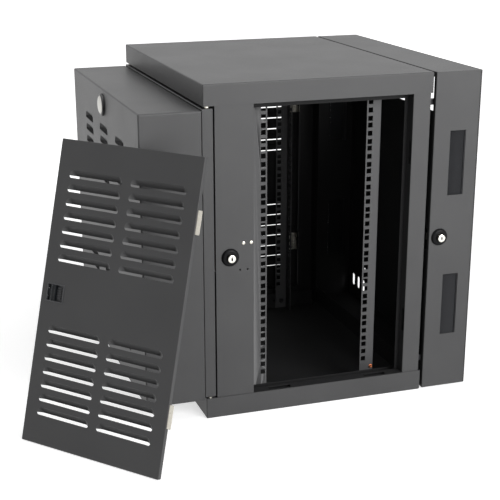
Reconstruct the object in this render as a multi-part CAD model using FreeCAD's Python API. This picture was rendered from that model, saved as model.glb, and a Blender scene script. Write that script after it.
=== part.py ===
"""Wall mount network cabinet: a 12U swing-out cabinet of folded sheet steel, in millimetres.

+X is the cabinet's right side, +Y points to the wall and +Z up. The origin is the centre of the
wall bolt pattern, on the wall. Heights are worked out from the bottom pan's underside and depths
from the middle of the main section, and every piece is moved to the origin last.

The main section hangs on a shallow wall section by two butt hinges at the left. Its deep front door
turns on pivot pins at the left, and the two louvred side panels lift off. The right one is off and
leans on the door's corner.
"""
import FreeCAD, Part
import math
import os

V = FreeCAD.Vector
X_AXIS, Y_AXIS, Z_AXIS = V(1, 0, 0), V(0, 1, 0), V(0, 0, 1)

# ---- driving dimensions ----
# overall
HEIGHT = 640.0
MAIN_DEPTH = 450.0       # swing-out main section, cap front to cap back
SWING_GAP = 5.0          # between the main section and the wall section
WALL_DEPTH = 95.0
WALL_CLEARANCE = 2.5     # wall section above the floor line
WALL_TOP_DROP = 0.5      # and below the cap's top
# sheets
SHEET = 1.5
PLATE = 2.0              # rails, wall plate, brackets
PANEL_SHEET = 1.2
SEAT_GAP = 0.3           # between parts that rest on one another but come apart
OVERRUN = 1.0            # how far a drill starts before a face and ends behind it
# sides of the bars that stand for small round pieces and the holes they pass through
SMALL_SIDES = 6
KNUCKLE_SIDES = 8
RING_SIDES = 12
BADGE_SIDES = 24
# cap and pan
CAP_LIP = 39.0
PAN_LIP = 41.0
BEND_RADIUS = 2.0
LIP_RETURN = 18.0        # return flange of the front lips, which carries the door's pivots
# corner pillars
DOOR_RECESS = 22.0       # cap front to the pillars the door closes on
PILLAR_WIDTH = 73.3      # front pillar, seen from the side
REAR_PILLAR_WIDTH = 36.0
REAR_PILLAR_SETBACK = 4.0
PILLAR_RETURN = 40.0     # flange across the front or the back
OPENING_RETURN = 22.0    # flange at the side opening
OPENING_LIP = 7.0
# sills under and over the side openings
SHELF_SLOT_LENGTH = 45.0
SHELF_SLOT_WIDTH = 11.0
SHELF_SLOT_INSET = 34.0
SILL_FLANGE = 29.0
HEADER_FLANGE = 12.5
# 19 inch rails
RACK_UNITS = 12
UNIT_HEIGHT = 44.45
RACK_BASE = 56.0         # underside of the first rack unit above the floor
HOLE_OFFSETS = (6.35, 22.225, 38.1)
RACK_HOLE = 9.5
RACK_HOLE_SPACING = 465.1
RACK_CLEAR_WIDTH = 449.4
RACK_SIDE_ROOM = 75.3    # for cables, from the clear width to the outside of the cap and pan
RAIL_FACE = 28.0
RAIL_SIDE = 29.2
SIDE_HOLE_EDGE = 7.5     # side holes from the side flange's free edge
FRONT_RAIL_SETBACK = 108.0
REAR_RAIL_SETBACK = 366.0
RAIL_END_GAP = 0.5
TRACK_HEIGHT = 35.5
TRACK_FOOT = 17.3
TRACK_INSET = 14.0       # from the pillars
TRACK_SLOT = 40.0
BOLT_RADIUS = 3.0
BOLT_HOLE_RADIUS = 3.3
BOLT_HEAD_RADIUS = 5.5
BOLT_HEAD_HEIGHT = 3.5
NUT_FLATS = 10.0
NUT_HEIGHT = 5.0
BOLT_RISE = 18.5         # above the pan's floor, below the cap's sheet
# front door
DOOR_DEPTH = 115.8       # deep shell in front of the door frame
DOOR_SIDE_GAP = 1.5      # shell inside the cabinet's outline
DOOR_SEAM = 1.5          # the shell stands this far in front of the cap
SHELL_BOTTOM = 37.5
SHELL_TOP_GAP = 7.0      # shell's top below the cap's lip
SHELL_RADIUS = 3.0
SHELL_FLANGE = 16.0
FRAME_DEPTH = 21.0
FRAME_SIDE_GAP = 2.0
FRAME_TOP_GAP = 4.5      # under the cap's return flange
FRAME_BOTTOM_GAP = 2.5   # over the pan's return flange
FRAME_FRONT_FLANGE = 30.0
FRAME_REAR_FLANGE = 18.0
BADGE_RADIUS = 25.0
BADGE_THICKNESS = 9.0
BADGE_DROP = 28.5        # centre of the round boss below the shell's top
# door pivots
PIVOT_INSET = 4.5        # from the shell's side
PIVOT_SETBACK = 10.0     # behind the shell's back
PIN_RADIUS = 2.4
RUNNING_CLEARANCE = 0.06
BUSH_RADIUS = 4.2
BUSH_SLEEVE_RADIUS = 3.6
BUSH_TOP_GAP = 1.0       # over the door frame
PIN_REACH = 7.0
# louvres
LOUVRE_HEIGHT = 16.5
LOUVRE_GAP = 5.5         # open slit under the hood
LOUVRE_PRESS = 11.0      # how deep the hood is pressed in
LOUVRE_PITCH = 25.4
PANEL_MARGIN = 27.25     # from the panel's edges to its louvres
PANEL_COLUMN_GAP = 23.5
PANEL_ROWS = 7
PANEL_GROUP_SPACING = 284.0
DOOR_LOUVRE = 74.0
DOOR_COLUMNS = 3
DOOR_COLUMN_PITCH = 142.0
DOOR_ROWS = 5
DOOR_TOP_ROW = 79.0      # centre of the first row below the shell's top
# side panels
PANEL_PLAY = 4.7         # panel narrower than its opening
PANEL_HEADROOM = 1.4
PANEL_RETURN = 8.0
HOOK_LENGTH = 42.0
HOOK_REACH = 8.0
HOOK_SPACING = 336.0
HOOK_OFFSET = 2.2        # hook behind the panel's outer face
HOOK_FOOT = 22.0         # foot's far edge from the panel's edge
HOOK_JOGGLE = 8.0        # where the tongue steps up from the foot
HOOK_SLOT_WIDTH = 10.0
HOOK_SLOT_PLAY = 2.0
LEAN_YAW = 40.0          # the leaning panel's foot turned from the cabinet's front
LEAN_TILT = 16.7         # and its top leant back
LEAN_CONTACT = 165.0     # along its top edge, where it meets the door's corner
# panel latches
LATCH_WIDTH = 40.0
LATCH_HEIGHT = 34.0
LATCH_INSET = 12.0
LATCH_DEPTH = 7.0
LATCH_BEZEL = 1.0
LATCH_WALL = 2.0
LATCH_TRAVEL = 6.0
LATCH_BOLT_HEIGHT = 14.0
LATCH_BOLT_THICKNESS = 4.0
LATCH_PAD = 11.0
LATCH_SLOT_PLAY = 0.7
KEEPER_HOLE_RADIUS = 2.0
KEEPER_HOLE_PITCH = 15.0
KEEPER_HOLE_SPACING = 51.0
KEEPER_HOLE_INSET = 11.9
KEEPER_MARGIN = 5.0
KEEPER_DROP = 1.8        # keeper's middle below the panel's
# key locks
LOCK_HEIGHT = 318.7
DOOR_LOCK_SETBACK = 27.5     # behind the front of the front pillar
WALL_LOCK_SETBACK = 21.8     # behind the wall section's front
LOCK_BARREL_RADIUS = 8.5
LOCK_PROTRUSION = 12.0
LOCK_INNER_LENGTH = 11.5
LOCK_PLUG_RADIUS = 5.5
LOCK_NUT_FLATS = 22.0
LOCK_NUT_HEIGHT = 4.0
COLLAR_RADIUS = 17.0
COLLAR_HEIGHT = 5.0
KEYWAY_WIDTH = 1.6
KEYWAY_LENGTH = 7.0
KEYWAY_DEPTH = 6.0
CAM_REACH = 22.0
CAM_WIDTH = 14.0
CAM_THICKNESS = 2.5
CAM_SCREW_HEIGHT = 1.5       # room for the head of the screw that holds the cam
STRIKE_CLEARANCE = 0.7
STRIKE_HEIGHT = 14.0
STRIKE_FOOT = 15.0
STRIKE_TOP = 11.0        # arm above the lock's axis
STRIKE_BOTTOM = 29.0
# wall section
WALL_RETURN = 9.0
WALL_REAR_FLANGE = 15.0
WALL_HOLE_RADIUS = 4.75
WALL_HOLE_SPACING = 406.4
WALL_HOLE_RISE = 457.2
WALL_HOLE_CENTRE = 321.0
CABLE_ENTRY_WIDTH = 260.0
CABLE_ENTRY_HEIGHT = 70.0
CABLE_ENTRY_DROP = 75.0
CABLE_ENTRY_BEVEL = 6.0
VENT_COUNT = 4
VENT_MARGIN = 31.8
VENT_PITCH = 29.8
VENT_WIDTH = 14.0
VENT_HEIGHT = 30.0
VENT_CENTRE = 48.5
PORT_WIDTH = 33.0
PORT_HEIGHT = 126.0
PORT_SETBACK = 51.0      # centre behind the wall section's front
PORT_CENTRE = 320.6
PORT_SPACING = 286.6
BRUSH_HOLDER_WIDTH = 8.0
BRUSH_HOLDER_DEPTH = 6.0
BRUSH_THICKNESS = 2.6
BRUSH_OVERLAP = 2.5
BRUSH_MARGIN = 8.0
# swing hinges and guides
HINGE_HEIGHT = 60.0
HINGE_RADIUS = 5.0
HINGE_PIN_RADIUS = 2.5
HINGE_LEAF = 30.0
HINGE_CENTRES = (130.0, 510.0)
HINGE_KNUCKLE_GAP = 0.2
HINGE_PIN_HEAD = 2.0
GUIDE_CENTRES = (65.0, 583.0)
GUIDE_HEIGHT = 12.0
GUIDE_REACH = 16.0
GUIDE_CLEARANCE = 0.7
GUIDE_FOOT = 14.0
# earth screw on the right rear rail
EARTH_RISE = 44.0
EARTH_RADIUS = 4.2
EARTH_THICKNESS = 2.5
EARTH_EDGE = 5.0

# ---- derived places ----
HALF = RACK_CLEAR_WIDTH / 2 + RACK_SIDE_ROOM  # outside of the cap and pan
FRONT = -MAIN_DEPTH / 2
BACK = MAIN_DEPTH / 2
WALL_FRONT = BACK + SWING_GAP
WALL_BACK = WALL_FRONT + WALL_DEPTH
CAP_BOTTOM = HEIGHT - CAP_LIP
INSIDE_TOP = HEIGHT - SHEET
PILLAR_X = HALF - SHEET                      # outer face of pillars and panels
PILLAR_FRONT = FRONT + DOOR_RECESS
OPENING_FRONT = PILLAR_FRONT + PILLAR_WIDTH
PILLAR_BACK = BACK - REAR_PILLAR_SETBACK
OPENING_BACK = PILLAR_BACK - REAR_PILLAR_WIDTH
LIP_X = PILLAR_X - OPENING_RETURN
RAIL_X = RACK_CLEAR_WIDTH / 2 + RAIL_FACE    # outer face of the rails' side flanges
FRONT_RAIL = FRONT + FRONT_RAIL_SETBACK
REAR_RAIL = FRONT + REAR_RAIL_SETBACK
TRACK_X = RAIL_X + PLATE
PANEL_WIDTH = OPENING_BACK - OPENING_FRONT - PANEL_PLAY
PANEL_BOTTOM = PAN_LIP + SEAT_GAP
PANEL_HEIGHT = CAP_BOTTOM - PANEL_BOTTOM - PANEL_HEADROOM
PANEL_FRONT = OPENING_FRONT + PANEL_PLAY / 2
PANEL_MIDDLE = PANEL_BOTTOM + PANEL_HEIGHT / 2
PANEL_LOUVRE = (PANEL_WIDTH - PANEL_COLUMN_GAP) / 2 - PANEL_MARGIN
SHELL_TOP = CAP_BOTTOM - SHELL_TOP_GAP
SHELL_X = HALF - DOOR_SIDE_GAP
SHELL_BACK = FRONT - DOOR_SEAM
SHELL_FRONT = SHELL_BACK - DOOR_DEPTH
FRAME_X = HALF - FRAME_SIDE_GAP
FRAME_BACK = SHELL_BACK + FRAME_DEPTH
FRAME_TOP = CAP_BOTTOM - FRAME_TOP_GAP
FRAME_BOTTOM = PAN_LIP + FRAME_BOTTOM_GAP
PIVOT_X = SHELL_X - PIVOT_INSET
PIVOT_Y = SHELL_BACK + PIVOT_SETBACK
DOOR_LOCK_Y = PILLAR_FRONT + DOOR_LOCK_SETBACK
WALL_LOCK_Y = WALL_FRONT + WALL_LOCK_SETBACK
KEEPER_X = PILLAR_X - SHEET
KEEPER_Y = OPENING_FRONT - KEEPER_HOLE_INSET
KEEPER_Z = PANEL_MIDDLE - KEEPER_DROP
HINGE_X = -(HALF + HINGE_RADIUS)
HINGE_Y = BACK + SWING_GAP / 2
WALL_TOP = HEIGHT - WALL_TOP_DROP
CABLE_ENTRY_CENTRE = WALL_TOP - CABLE_ENTRY_DROP
PORT_Y = WALL_FRONT + PORT_SETBACK
ORIGIN = V(0, WALL_BACK, WALL_HOLE_CENTRE)


# ---- plain solids ----
def block(x0, x1, y0, y1, z0, z1):
    """Box between two corners, given in any order."""
    low = V(min(x0, x1), min(y0, y1), min(z0, z1))
    return Part.makeBox(abs(x1 - x0), abs(y1 - y0), abs(z1 - z0), low)


def rod(radius, start, direction, length):
    return Part.makeCylinder(radius, length, start, direction)


def bar(radius, start, direction, length, sides=SMALL_SIDES):
    """Few-sided bar along an axis, with its corners at the radius."""
    across = Y_AXIS if abs(direction.x) > abs(direction.y) else X_AXIS
    other = direction.cross(across)
    turns = [2 * math.pi * (k + 0.5) / sides for k in range(sides)]
    return prism([start + across * (radius * math.cos(turn)) + other * (radius * math.sin(turn))
                  for turn in turns], direction * length)


def bore(radius, start, direction, length, sides=SMALL_SIDES):
    """Few-sided hole for a round piece: its flats are at the radius."""
    return bar(radius / math.cos(math.pi / sides), start, direction, length, sides)


def fused(shapes):
    """One solid from touching or crossing ones, with the seams between flush faces removed."""
    return shapes[0].fuse(shapes[1:]).removeSplitter() if len(shapes) > 1 else shapes[0]


def mirrored(shape):
    """The same piece on the other side of the cabinet."""
    return shape.mirror(V(0, 0, 0), X_AXIS)


def both_sides(shape):
    return [shape, mirrored(shape)]


def prism(points, direction):
    """Closed outline pushed along a direction."""
    return Part.Face(Part.makePolygon(points + [points[0]])).extrude(direction)


def bent_strip(path, thickness):
    """Outline of a folded strip: the path is one face of the sheet, which lies to the path's left."""
    def normal(a, b):
        along = math.hypot(b[0] - a[0], b[1] - a[1])
        return -(b[1] - a[1]) / along, (b[0] - a[0]) / along

    normals = [normal(a, b) for a, b in zip(path, path[1:])]
    other = []
    for place, (x, y) in enumerate(path):
        before = normals[max(place - 1, 0)]
        after = normals[min(place, len(normals) - 1)]
        share = 1 + before[0] * after[0] + before[1] * after[1]
        other.append((x + thickness * (before[0] + after[0]) / share,
                      y + thickness * (before[1] + after[1]) / share))
    return path + other[::-1]


def upright(path, thickness, z0, z1):
    """A folded strip, drawn in plan, between two heights."""
    return prism([V(x, y, z0) for x, y in bent_strip(path, thickness)], V(0, 0, z1 - z0))


def slot(centre, along, across, length, width, depth):
    """Long hole with eight corners through a sheet; depth is along the third axis."""
    through = along.cross(across)
    start = centre - through * (depth / 2)
    narrow = width / 2 * math.tan(math.pi / 8)
    far, near = length / 2, length / 2 - width / 2 + narrow
    corners = [(far, narrow), (near, width / 2)]
    corners += [(-a, b) for a, b in reversed(corners)]
    corners += [(-a, -b) for a, b in corners]
    return prism([start + along * a + across * b for a, b in corners], through * depth)


def hexagon(centre, flats, direction, height):
    return bore(flats / 2, centre, direction, height, 6)


def bevelled(shape, size, wanted):
    """Bevels the edges whose middle passes the test."""
    return shape.makeChamfer(size, [edge for edge in shape.Edges if wanted(edge.CenterOfMass, edge)])


def rounded(shape, radius, wanted):
    """Rounds the edges whose middle passes the test."""
    return shape.makeFillet(radius, [edge for edge in shape.Edges if wanted(edge.CenterOfMass, edge)])


def runs_along(edge, axis):
    direction = (edge.Vertexes[-1].Point - edge.Vertexes[0].Point).normalize()
    return abs(direction.dot(axis)) > 0.99


# ---- cap and pan ----
def tray(z_closed, z_open):
    """Folded tray over the main section, closed at one height and open at the other."""
    outer = block(-HALF, HALF, FRONT, BACK, z_closed, z_open)
    rim = bevelled(outer, BEND_RADIUS / 2,
                   lambda middle, edge: runs_along(edge, Z_AXIS) or abs(middle.z - z_closed) < SHEET / 2)
    inside = SHEET if z_open > z_closed else -SHEET
    hollow = block(-PILLAR_X, PILLAR_X, FRONT + SHEET, BACK - SHEET, z_closed + inside, z_open)
    lip = block(-PILLAR_X, PILLAR_X, FRONT + SHEET, FRONT + SHEET + LIP_RETURN, z_open - inside, z_open)
    bush_seats = [bar(BUSH_SLEEVE_RADIUS, V(x, PIVOT_Y, min(z_open, z_open - inside)), Z_AXIS, SHEET)
                  for x in (-PIVOT_X, PIVOT_X)]
    return fused([rim.cut(hollow), lip]).cut(bush_seats)


# ---- pillars ----
def latch_holes():
    """The two open holes of the panel latch's keeper, below its rivets, as bars along X."""
    return [bar(KEEPER_HOLE_RADIUS, V(KEEPER_X - 2 * SHEET, KEEPER_Y - across,
                                      KEEPER_Z - KEEPER_HOLE_SPACING / 2), X_AXIS, 4 * SHEET)
            for across in (0, KEEPER_HOLE_PITCH)]


def bolt_slot(y):
    """Hole for the panel's latch bolt in the flange at the side opening."""
    near = PILLAR_X - LATCH_DEPTH / 2 - LATCH_BOLT_THICKNESS / 2 - LATCH_SLOT_PLAY
    tall = LATCH_BOLT_HEIGHT / 2 + LATCH_SLOT_PLAY
    return block(near, near + LATCH_BOLT_THICKNESS + 2 * LATCH_SLOT_PLAY, y - 2 * SHEET, y + 2 * SHEET,
                 PANEL_MIDDLE - tall, PANEL_MIDDLE + tall)


def front_pillar(has_lock):
    """Right front pillar; its flange across the front is what the door closes on."""
    path = [(PILLAR_X - PILLAR_RETURN, PILLAR_FRONT), (PILLAR_X, PILLAR_FRONT), (PILLAR_X, OPENING_FRONT),
            (LIP_X, OPENING_FRONT), (LIP_X, OPENING_FRONT + OPENING_LIP)]
    post = upright(path, SHEET, SHEET, INSIDE_TOP)
    holes = latch_holes() + [bolt_slot(OPENING_FRONT)]
    if has_lock:
        lock_start = V(KEEPER_X - SHEET, DOOR_LOCK_Y, LOCK_HEIGHT)
        holes.append(bar(LOCK_BARREL_RADIUS, lock_start, X_AXIS, 4 * SHEET, RING_SIDES))
        holes.append(block(strike_x() - 2 * PLATE, PILLAR_X - 3 * BEND_RADIUS - PLATE,
                           PILLAR_FRONT - SHEET, PILLAR_FRONT + 2 * SHEET,
                           LOCK_HEIGHT - STRIKE_BOTTOM - PLATE, LOCK_HEIGHT + STRIKE_TOP + PLATE))
    return post.cut(holes)


def hook_slots():
    """Slots for the panel's two hooks in the flange at the back of the side opening."""
    tall = HOOK_LENGTH / 2 + HOOK_SLOT_PLAY
    return [block(KEEPER_X, KEEPER_X - HOOK_SLOT_WIDTH, OPENING_BACK - SHEET, OPENING_BACK + 2 * SHEET,
                  PANEL_MIDDLE + up - tall, PANEL_MIDDLE + up + tall)
            for up in (-HOOK_SPACING / 2, HOOK_SPACING / 2)]


def rear_pillar():
    """Right rear pillar, drawn from the opening's lip round to the flange across the back."""
    path = [(LIP_X, OPENING_BACK - OPENING_LIP), (LIP_X, OPENING_BACK), (PILLAR_X, OPENING_BACK),
            (PILLAR_X, PILLAR_BACK), (PILLAR_X - PILLAR_RETURN, PILLAR_BACK)]
    return upright(path, SHEET, SHEET, INSIDE_TOP).cut(hook_slots())


# ---- sills and headers of the side openings ----
def shelf(z_low, flange_end):
    """Right shelf between the pillars, flush with the lip outside, with a flange at its inner edge."""
    inner = LIP_X - SHEET
    outer = block(LIP_X + SEAT_GAP, PILLAR_X, OPENING_FRONT, OPENING_BACK, z_low, z_low + SHEET)
    ends = OPENING_LIP + SEAT_GAP
    edge = block(inner, LIP_X + SEAT_GAP, OPENING_FRONT + ends, OPENING_BACK - ends, z_low, z_low + SHEET)
    flange = block(inner, LIP_X, OPENING_FRONT + ends, OPENING_BACK - ends, z_low + SHEET / 2, flange_end)
    return fused([outer, edge, flange])


def sill():
    floor = shelf(PAN_LIP - SHEET, PAN_LIP - SILL_FLANGE)
    middle = (PILLAR_X + LIP_X) / 2
    reach = SHELF_SLOT_INSET + SHELF_SLOT_LENGTH / 2
    slots = [block(middle - SHELF_SLOT_WIDTH / 2, middle + SHELF_SLOT_WIDTH / 2,
                   y - SHELF_SLOT_LENGTH / 2, y + SHELF_SLOT_LENGTH / 2,
                   PAN_LIP - 2 * SHEET, PAN_LIP + SHEET)
             for y in (OPENING_FRONT + reach, OPENING_BACK - reach)]
    return floor.cut(slots)


def header():
    return shelf(CAP_BOTTOM, CAP_BOTTOM + SHEET - HEADER_FLANGE)


# ---- 19 inch rails and the tracks that carry them ----
def rack_heights():
    return [RACK_BASE + unit * UNIT_HEIGHT + offset for unit in range(RACK_UNITS) for offset in HOLE_OFFSETS]


def rail_bolt_y(face, back):
    """Middle of a rail's side flange; back is 1 where the rail runs back from its face, else -1."""
    return face + back * RAIL_SIDE / 2


def rail(face, back, side_holes):
    """Right rail: an angle with square holes in the face, and in the side flange where asked."""
    low, high = SHEET + RAIL_END_GAP, INSIDE_TOP - RAIL_END_GAP
    angle = fused([block(RAIL_X - RAIL_FACE, RAIL_X, face, face + back * PLATE, low, high),
                   block(RAIL_X - PLATE, RAIL_X, face, face + back * RAIL_SIDE, low, high)])
    half = RACK_HOLE / 2
    side_y = face + back * (RAIL_SIDE - SIDE_HOLE_EDGE)
    face_x = RACK_HOLE_SPACING / 2
    holes = []
    for z in rack_heights():
        holes.append(block(face_x - half, face_x + half, face - back * PLATE, face + back * 2 * PLATE,
                           z - half, z + half))
        if side_holes:
            holes.append(block(RAIL_X - 2 * PLATE, RAIL_X + PLATE, side_y - half, side_y + half,
                               z - half, z + half))
    bolts = [bar(BOLT_HOLE_RADIUS, V(RAIL_X - 2 * PLATE, rail_bolt_y(face, back), z), X_AXIS, 3 * PLATE)
             for z in bolt_heights()]
    return angle.cut(holes + bolts)


def bolt_heights():
    return SHEET + BOLT_RISE, INSIDE_TOP - BOLT_RISE


def track(z_seat, up):
    """Right track along the pan's floor, or the cap's underside where up is -1."""
    y0, y1 = PILLAR_FRONT + TRACK_INSET, PILLAR_BACK - TRACK_INSET
    web = block(RAIL_X, TRACK_X, y0, y1, z_seat, z_seat + up * TRACK_HEIGHT)
    foot = block(RAIL_X, TRACK_X + TRACK_FOOT, y0, y1, z_seat, z_seat + up * PLATE)
    slots = [slot(V(RAIL_X + PLATE / 2, y, z_seat + up * BOLT_RISE), Y_AXIS, Z_AXIS,
                  TRACK_SLOT, 2 * BOLT_HOLE_RADIUS, 3 * PLATE)
             for y in (rail_bolt_y(FRONT_RAIL, 1), rail_bolt_y(REAR_RAIL, -1))]
    return fused([web, foot]).cut(slots)


def rail_bolt_places():
    return [V(RAIL_X, y, z) for y in (rail_bolt_y(FRONT_RAIL, 1), rail_bolt_y(REAR_RAIL, -1))
            for z in bolt_heights()]


def rail_bolts():
    """Bolts of the right rails, heads on the inside."""
    bolts = []
    for place in rail_bolt_places():
        head = bar(BOLT_HEAD_RADIUS, place - X_AXIS * (PLATE + BOLT_HEAD_HEIGHT), X_AXIS, BOLT_HEAD_HEIGHT)
        length = 2 * PLATE + NUT_HEIGHT + 2 * SHEET
        shank = bar(BOLT_RADIUS, place - X_AXIS * (PLATE + SHEET), X_AXIS, length)
        bolts.append(fused([head, shank]))
    return bolts


def rail_nuts():
    return [hexagon(place + X_AXIS * PLATE, NUT_FLATS, X_AXIS, NUT_HEIGHT)
            .cut(bar(BOLT_RADIUS, place, X_AXIS, 2 * PLATE + NUT_HEIGHT))
            for place in rail_bolt_places()]


def earth_screw():
    """Copper earth screw on the outside of the right rear rail's foot."""
    place = V(RAIL_X, REAR_RAIL - EARTH_EDGE, EARTH_RISE)
    washer = bar(EARTH_RADIUS, place, X_AXIS, EARTH_THICKNESS / 2)
    head = hexagon(place + X_AXIS * (EARTH_THICKNESS / 2), 2 * BOLT_RADIUS, X_AXIS, EARTH_THICKNESS)
    return fused([washer, head])


# ---- louvres, pressed into a face that looks along +X in its own frame ----
def louvre_form(length, extra):
    """Room in front of a pressed hood, or with extra the hood's outside; y is along the louvre."""
    half = length / 2 + extra
    deep = LOUVRE_PRESS + extra
    top = LOUVRE_HEIGHT + extra
    side = [(0, top), (-deep, LOUVRE_GAP + extra)]
    plan = [(0, half), (-deep, half - LOUVRE_HEIGHT + LOUVRE_GAP)]
    if extra:
        side += [(-deep, LOUVRE_GAP), (0, LOUVRE_GAP)]
    else:
        side = [(SHEET, top)] + side + [(-deep, LOUVRE_GAP - SHEET), (-2 * PANEL_SHEET, 0), (SHEET, 0)]
        plan = [(SHEET, half)] + plan
    across = prism([V(x, -half, z) for x, z in side], V(0, 2 * half, 0))
    outline = [V(x, y, -SHEET) for x, y in plan] + [V(x, -y, -SHEET) for x, y in reversed(plan)]
    return across.common(prism(outline, V(0, 0, top + 2 * SHEET)))


def with_louvres(face, length, places, thickness, turn):
    """Presses louvres into a face; turn brings a louvre from its own frame to the face's."""
    hoods, rooms = [], []
    for place in places:
        hood = louvre_form(length, thickness)
        room = louvre_form(length, 0)
        for form, group in ((hood, hoods), (room, rooms)):
            form.translate(V(0, 0, -LOUVRE_HEIGHT / 2))
            if turn:
                form.rotate(V(0, 0, 0), Z_AXIS, turn)
            form.translate(place)
            group.append(form)
    return fused([face] + hoods).cut(rooms)


# ---- side panels, made upright with the outer face at x = 0, the latch edge at y = 0, the foot at z = 0
def panel_sheet():
    """Louvred panel with a return flange all round."""
    outer = bevelled(block(-PANEL_RETURN, 0, 0, PANEL_WIDTH, 0, PANEL_HEIGHT), PANEL_SHEET / 2,
                     lambda middle, edge: abs(middle.x) < SHEET / 2)
    hollow = block(-2 * PANEL_RETURN, -PANEL_SHEET, PANEL_SHEET, PANEL_WIDTH - PANEL_SHEET,
                   PANEL_SHEET, PANEL_HEIGHT - PANEL_SHEET)
    middle = PANEL_HEIGHT / 2
    rows = [middle + side * PANEL_GROUP_SPACING / 2 + (row - (PANEL_ROWS - 1) / 2) * LOUVRE_PITCH
            for side in (-1, 1) for row in range(PANEL_ROWS)]
    columns = [PANEL_WIDTH / 2 + side * (PANEL_LOUVRE + PANEL_COLUMN_GAP) / 2 for side in (-1, 1)]
    places = [V(0, y, z) for z in rows for y in columns]
    sheet = with_louvres(outer.cut(hollow), PANEL_LOUVRE, places, PANEL_SHEET, 0)
    rim = LATCH_WALL / 2
    window = block(-2 * PANEL_SHEET, PANEL_SHEET, LATCH_INSET + rim, LATCH_INSET + LATCH_WIDTH - rim,
                   middle - LATCH_HEIGHT / 2 + rim, middle + LATCH_HEIGHT / 2 - rim)
    return sheet.cut([window, latch_bolt_room(-PANEL_SHEET, 2 * PANEL_SHEET)] + hook_rooms())


def latch_bolt_room(y0, y1):
    """Passage of the latch bolt between two places across the panel."""
    thick = LATCH_BOLT_THICKNESS / 2 + LATCH_SLOT_PLAY / 2
    tall = LATCH_BOLT_HEIGHT / 2 + LATCH_SLOT_PLAY / 2
    middle, depth = PANEL_HEIGHT / 2, -LATCH_DEPTH / 2
    return block(depth - thick, depth + thick, y0, y1, middle - tall, middle + tall)


def hook_heights():
    return [PANEL_HEIGHT / 2 + up for up in (-HOOK_SPACING / 2, HOOK_SPACING / 2)]


def hook_rooms():
    """Holes in the panel's rear flange, each an exact fit for its hook."""
    return [block(-HOOK_OFFSET, -HOOK_OFFSET - PLATE,
                  PANEL_WIDTH - 2 * PANEL_SHEET, PANEL_WIDTH + PANEL_SHEET,
                  z - HOOK_LENGTH / 2, z + HOOK_LENGTH / 2) for z in hook_heights()]


def panel_hooks():
    """Two plated hooks with a joggled foot spot-welded to the panel's inside."""
    hooks = []
    for z in hook_heights():
        low, high = z - HOOK_LENGTH / 2, z + HOOK_LENGTH / 2
        step = PANEL_WIDTH - HOOK_JOGGLE
        tongue = block(-HOOK_OFFSET, -HOOK_OFFSET - PLATE, step, PANEL_WIDTH + HOOK_REACH, low, high)
        foot = block(-PANEL_SHEET, -PANEL_SHEET - PLATE, PANEL_WIDTH - HOOK_FOOT, step + PLATE, low, high)
        hooks.append(fused([tongue, foot]))
    return Part.makeCompound(hooks)


def latch_housing():
    """Moulded cup set in the panel's window, with a bezel on the outer face."""
    y0, y1 = LATCH_INSET, LATCH_INSET + LATCH_WIDTH
    z0, z1 = PANEL_HEIGHT / 2 - LATCH_HEIGHT / 2, PANEL_HEIGHT / 2 + LATCH_HEIGHT / 2
    wall = LATCH_WALL / 2
    bezel = block(0, LATCH_BEZEL, y0, y1, z0, z1)
    cup = block(-LATCH_DEPTH, LATCH_BEZEL, y0 + wall, y1 - wall, z0 + wall, z1 - wall)
    room = block(-LATCH_DEPTH + wall, 2 * LATCH_BEZEL, y0 + LATCH_WALL, y1 - LATCH_WALL,
                 z0 + LATCH_WALL, z1 - LATCH_WALL)
    return fused([bezel, cup]).cut([room, latch_bolt_room(y0 - LATCH_WALL, y0 + LATCH_WIDTH / 2)])


def latch_slider():
    """Thumb slider with its bolt, drawn back; it slides towards -Y to latch."""
    middle, depth = PANEL_HEIGHT / 2, -LATCH_DEPTH / 2
    thick = LATCH_BOLT_THICKNESS / 2
    bolt = block(depth - thick, depth + thick, LATCH_SLOT_PLAY / 2, LATCH_INSET + LATCH_WIDTH / 2,
                 middle - LATCH_BOLT_HEIGHT / 2, middle + LATCH_BOLT_HEIGHT / 2)
    pad_y = LATCH_INSET + LATCH_WALL + LATCH_TRAVEL + SEAT_GAP
    tall = LATCH_HEIGHT / 2 - LATCH_WALL - SEAT_GAP
    floor = -LATCH_DEPTH + LATCH_WALL / 2 + SEAT_GAP
    pad = block(floor, 0, pad_y, pad_y + LATCH_PAD, middle - tall, middle + tall)
    grip = bar(LATCH_PAD / 2, V(LATCH_PAD / 4, pad_y + LATCH_PAD / 2, middle - tall), Z_AXIS, 2 * tall)
    return fused([bolt, pad.cut(grip)])


def leaning():
    """Placement of the right panel: foot on the floor, top edge against the door shell's corner."""
    yaw, tilt = math.radians(LEAN_YAW), math.radians(LEAN_TILT)
    along = V(math.cos(yaw), math.sin(yaw), 0)
    out = V(math.sin(yaw) * math.cos(tilt), -math.cos(yaw) * math.cos(tilt), math.sin(tilt))
    up = out.cross(along)
    edge_centre = V(SHELL_X - SHELL_RADIUS, SHELL_FRONT + SHELL_RADIUS, 0)
    touch = edge_centre + V(math.sin(yaw), -math.cos(yaw), 0) * SHELL_RADIUS
    origin = touch - along * LEAN_CONTACT - up * PANEL_HEIGHT + out * (PANEL_RETURN + SEAT_GAP)
    origin.z = PANEL_RETURN * math.sin(tilt)
    return FreeCAD.Matrix(out.x, along.x, up.x, origin.x, out.y, along.y, up.y, origin.y,
                          out.z, along.z, up.z, origin.z, 0, 0, 0, 1)


def hung_right():
    """Placement of a panel in the right opening; the left panel is handed, its mirror image."""
    return FreeCAD.Matrix(1, 0, 0, PILLAR_X, 0, 1, 0, PANEL_FRONT, 0, 0, 1, PANEL_BOTTOM, 0, 0, 0, 1)


def placed(shape, matrix):
    moved = shape.copy()
    moved.Placement = FreeCAD.Placement(matrix)
    return moved


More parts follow.
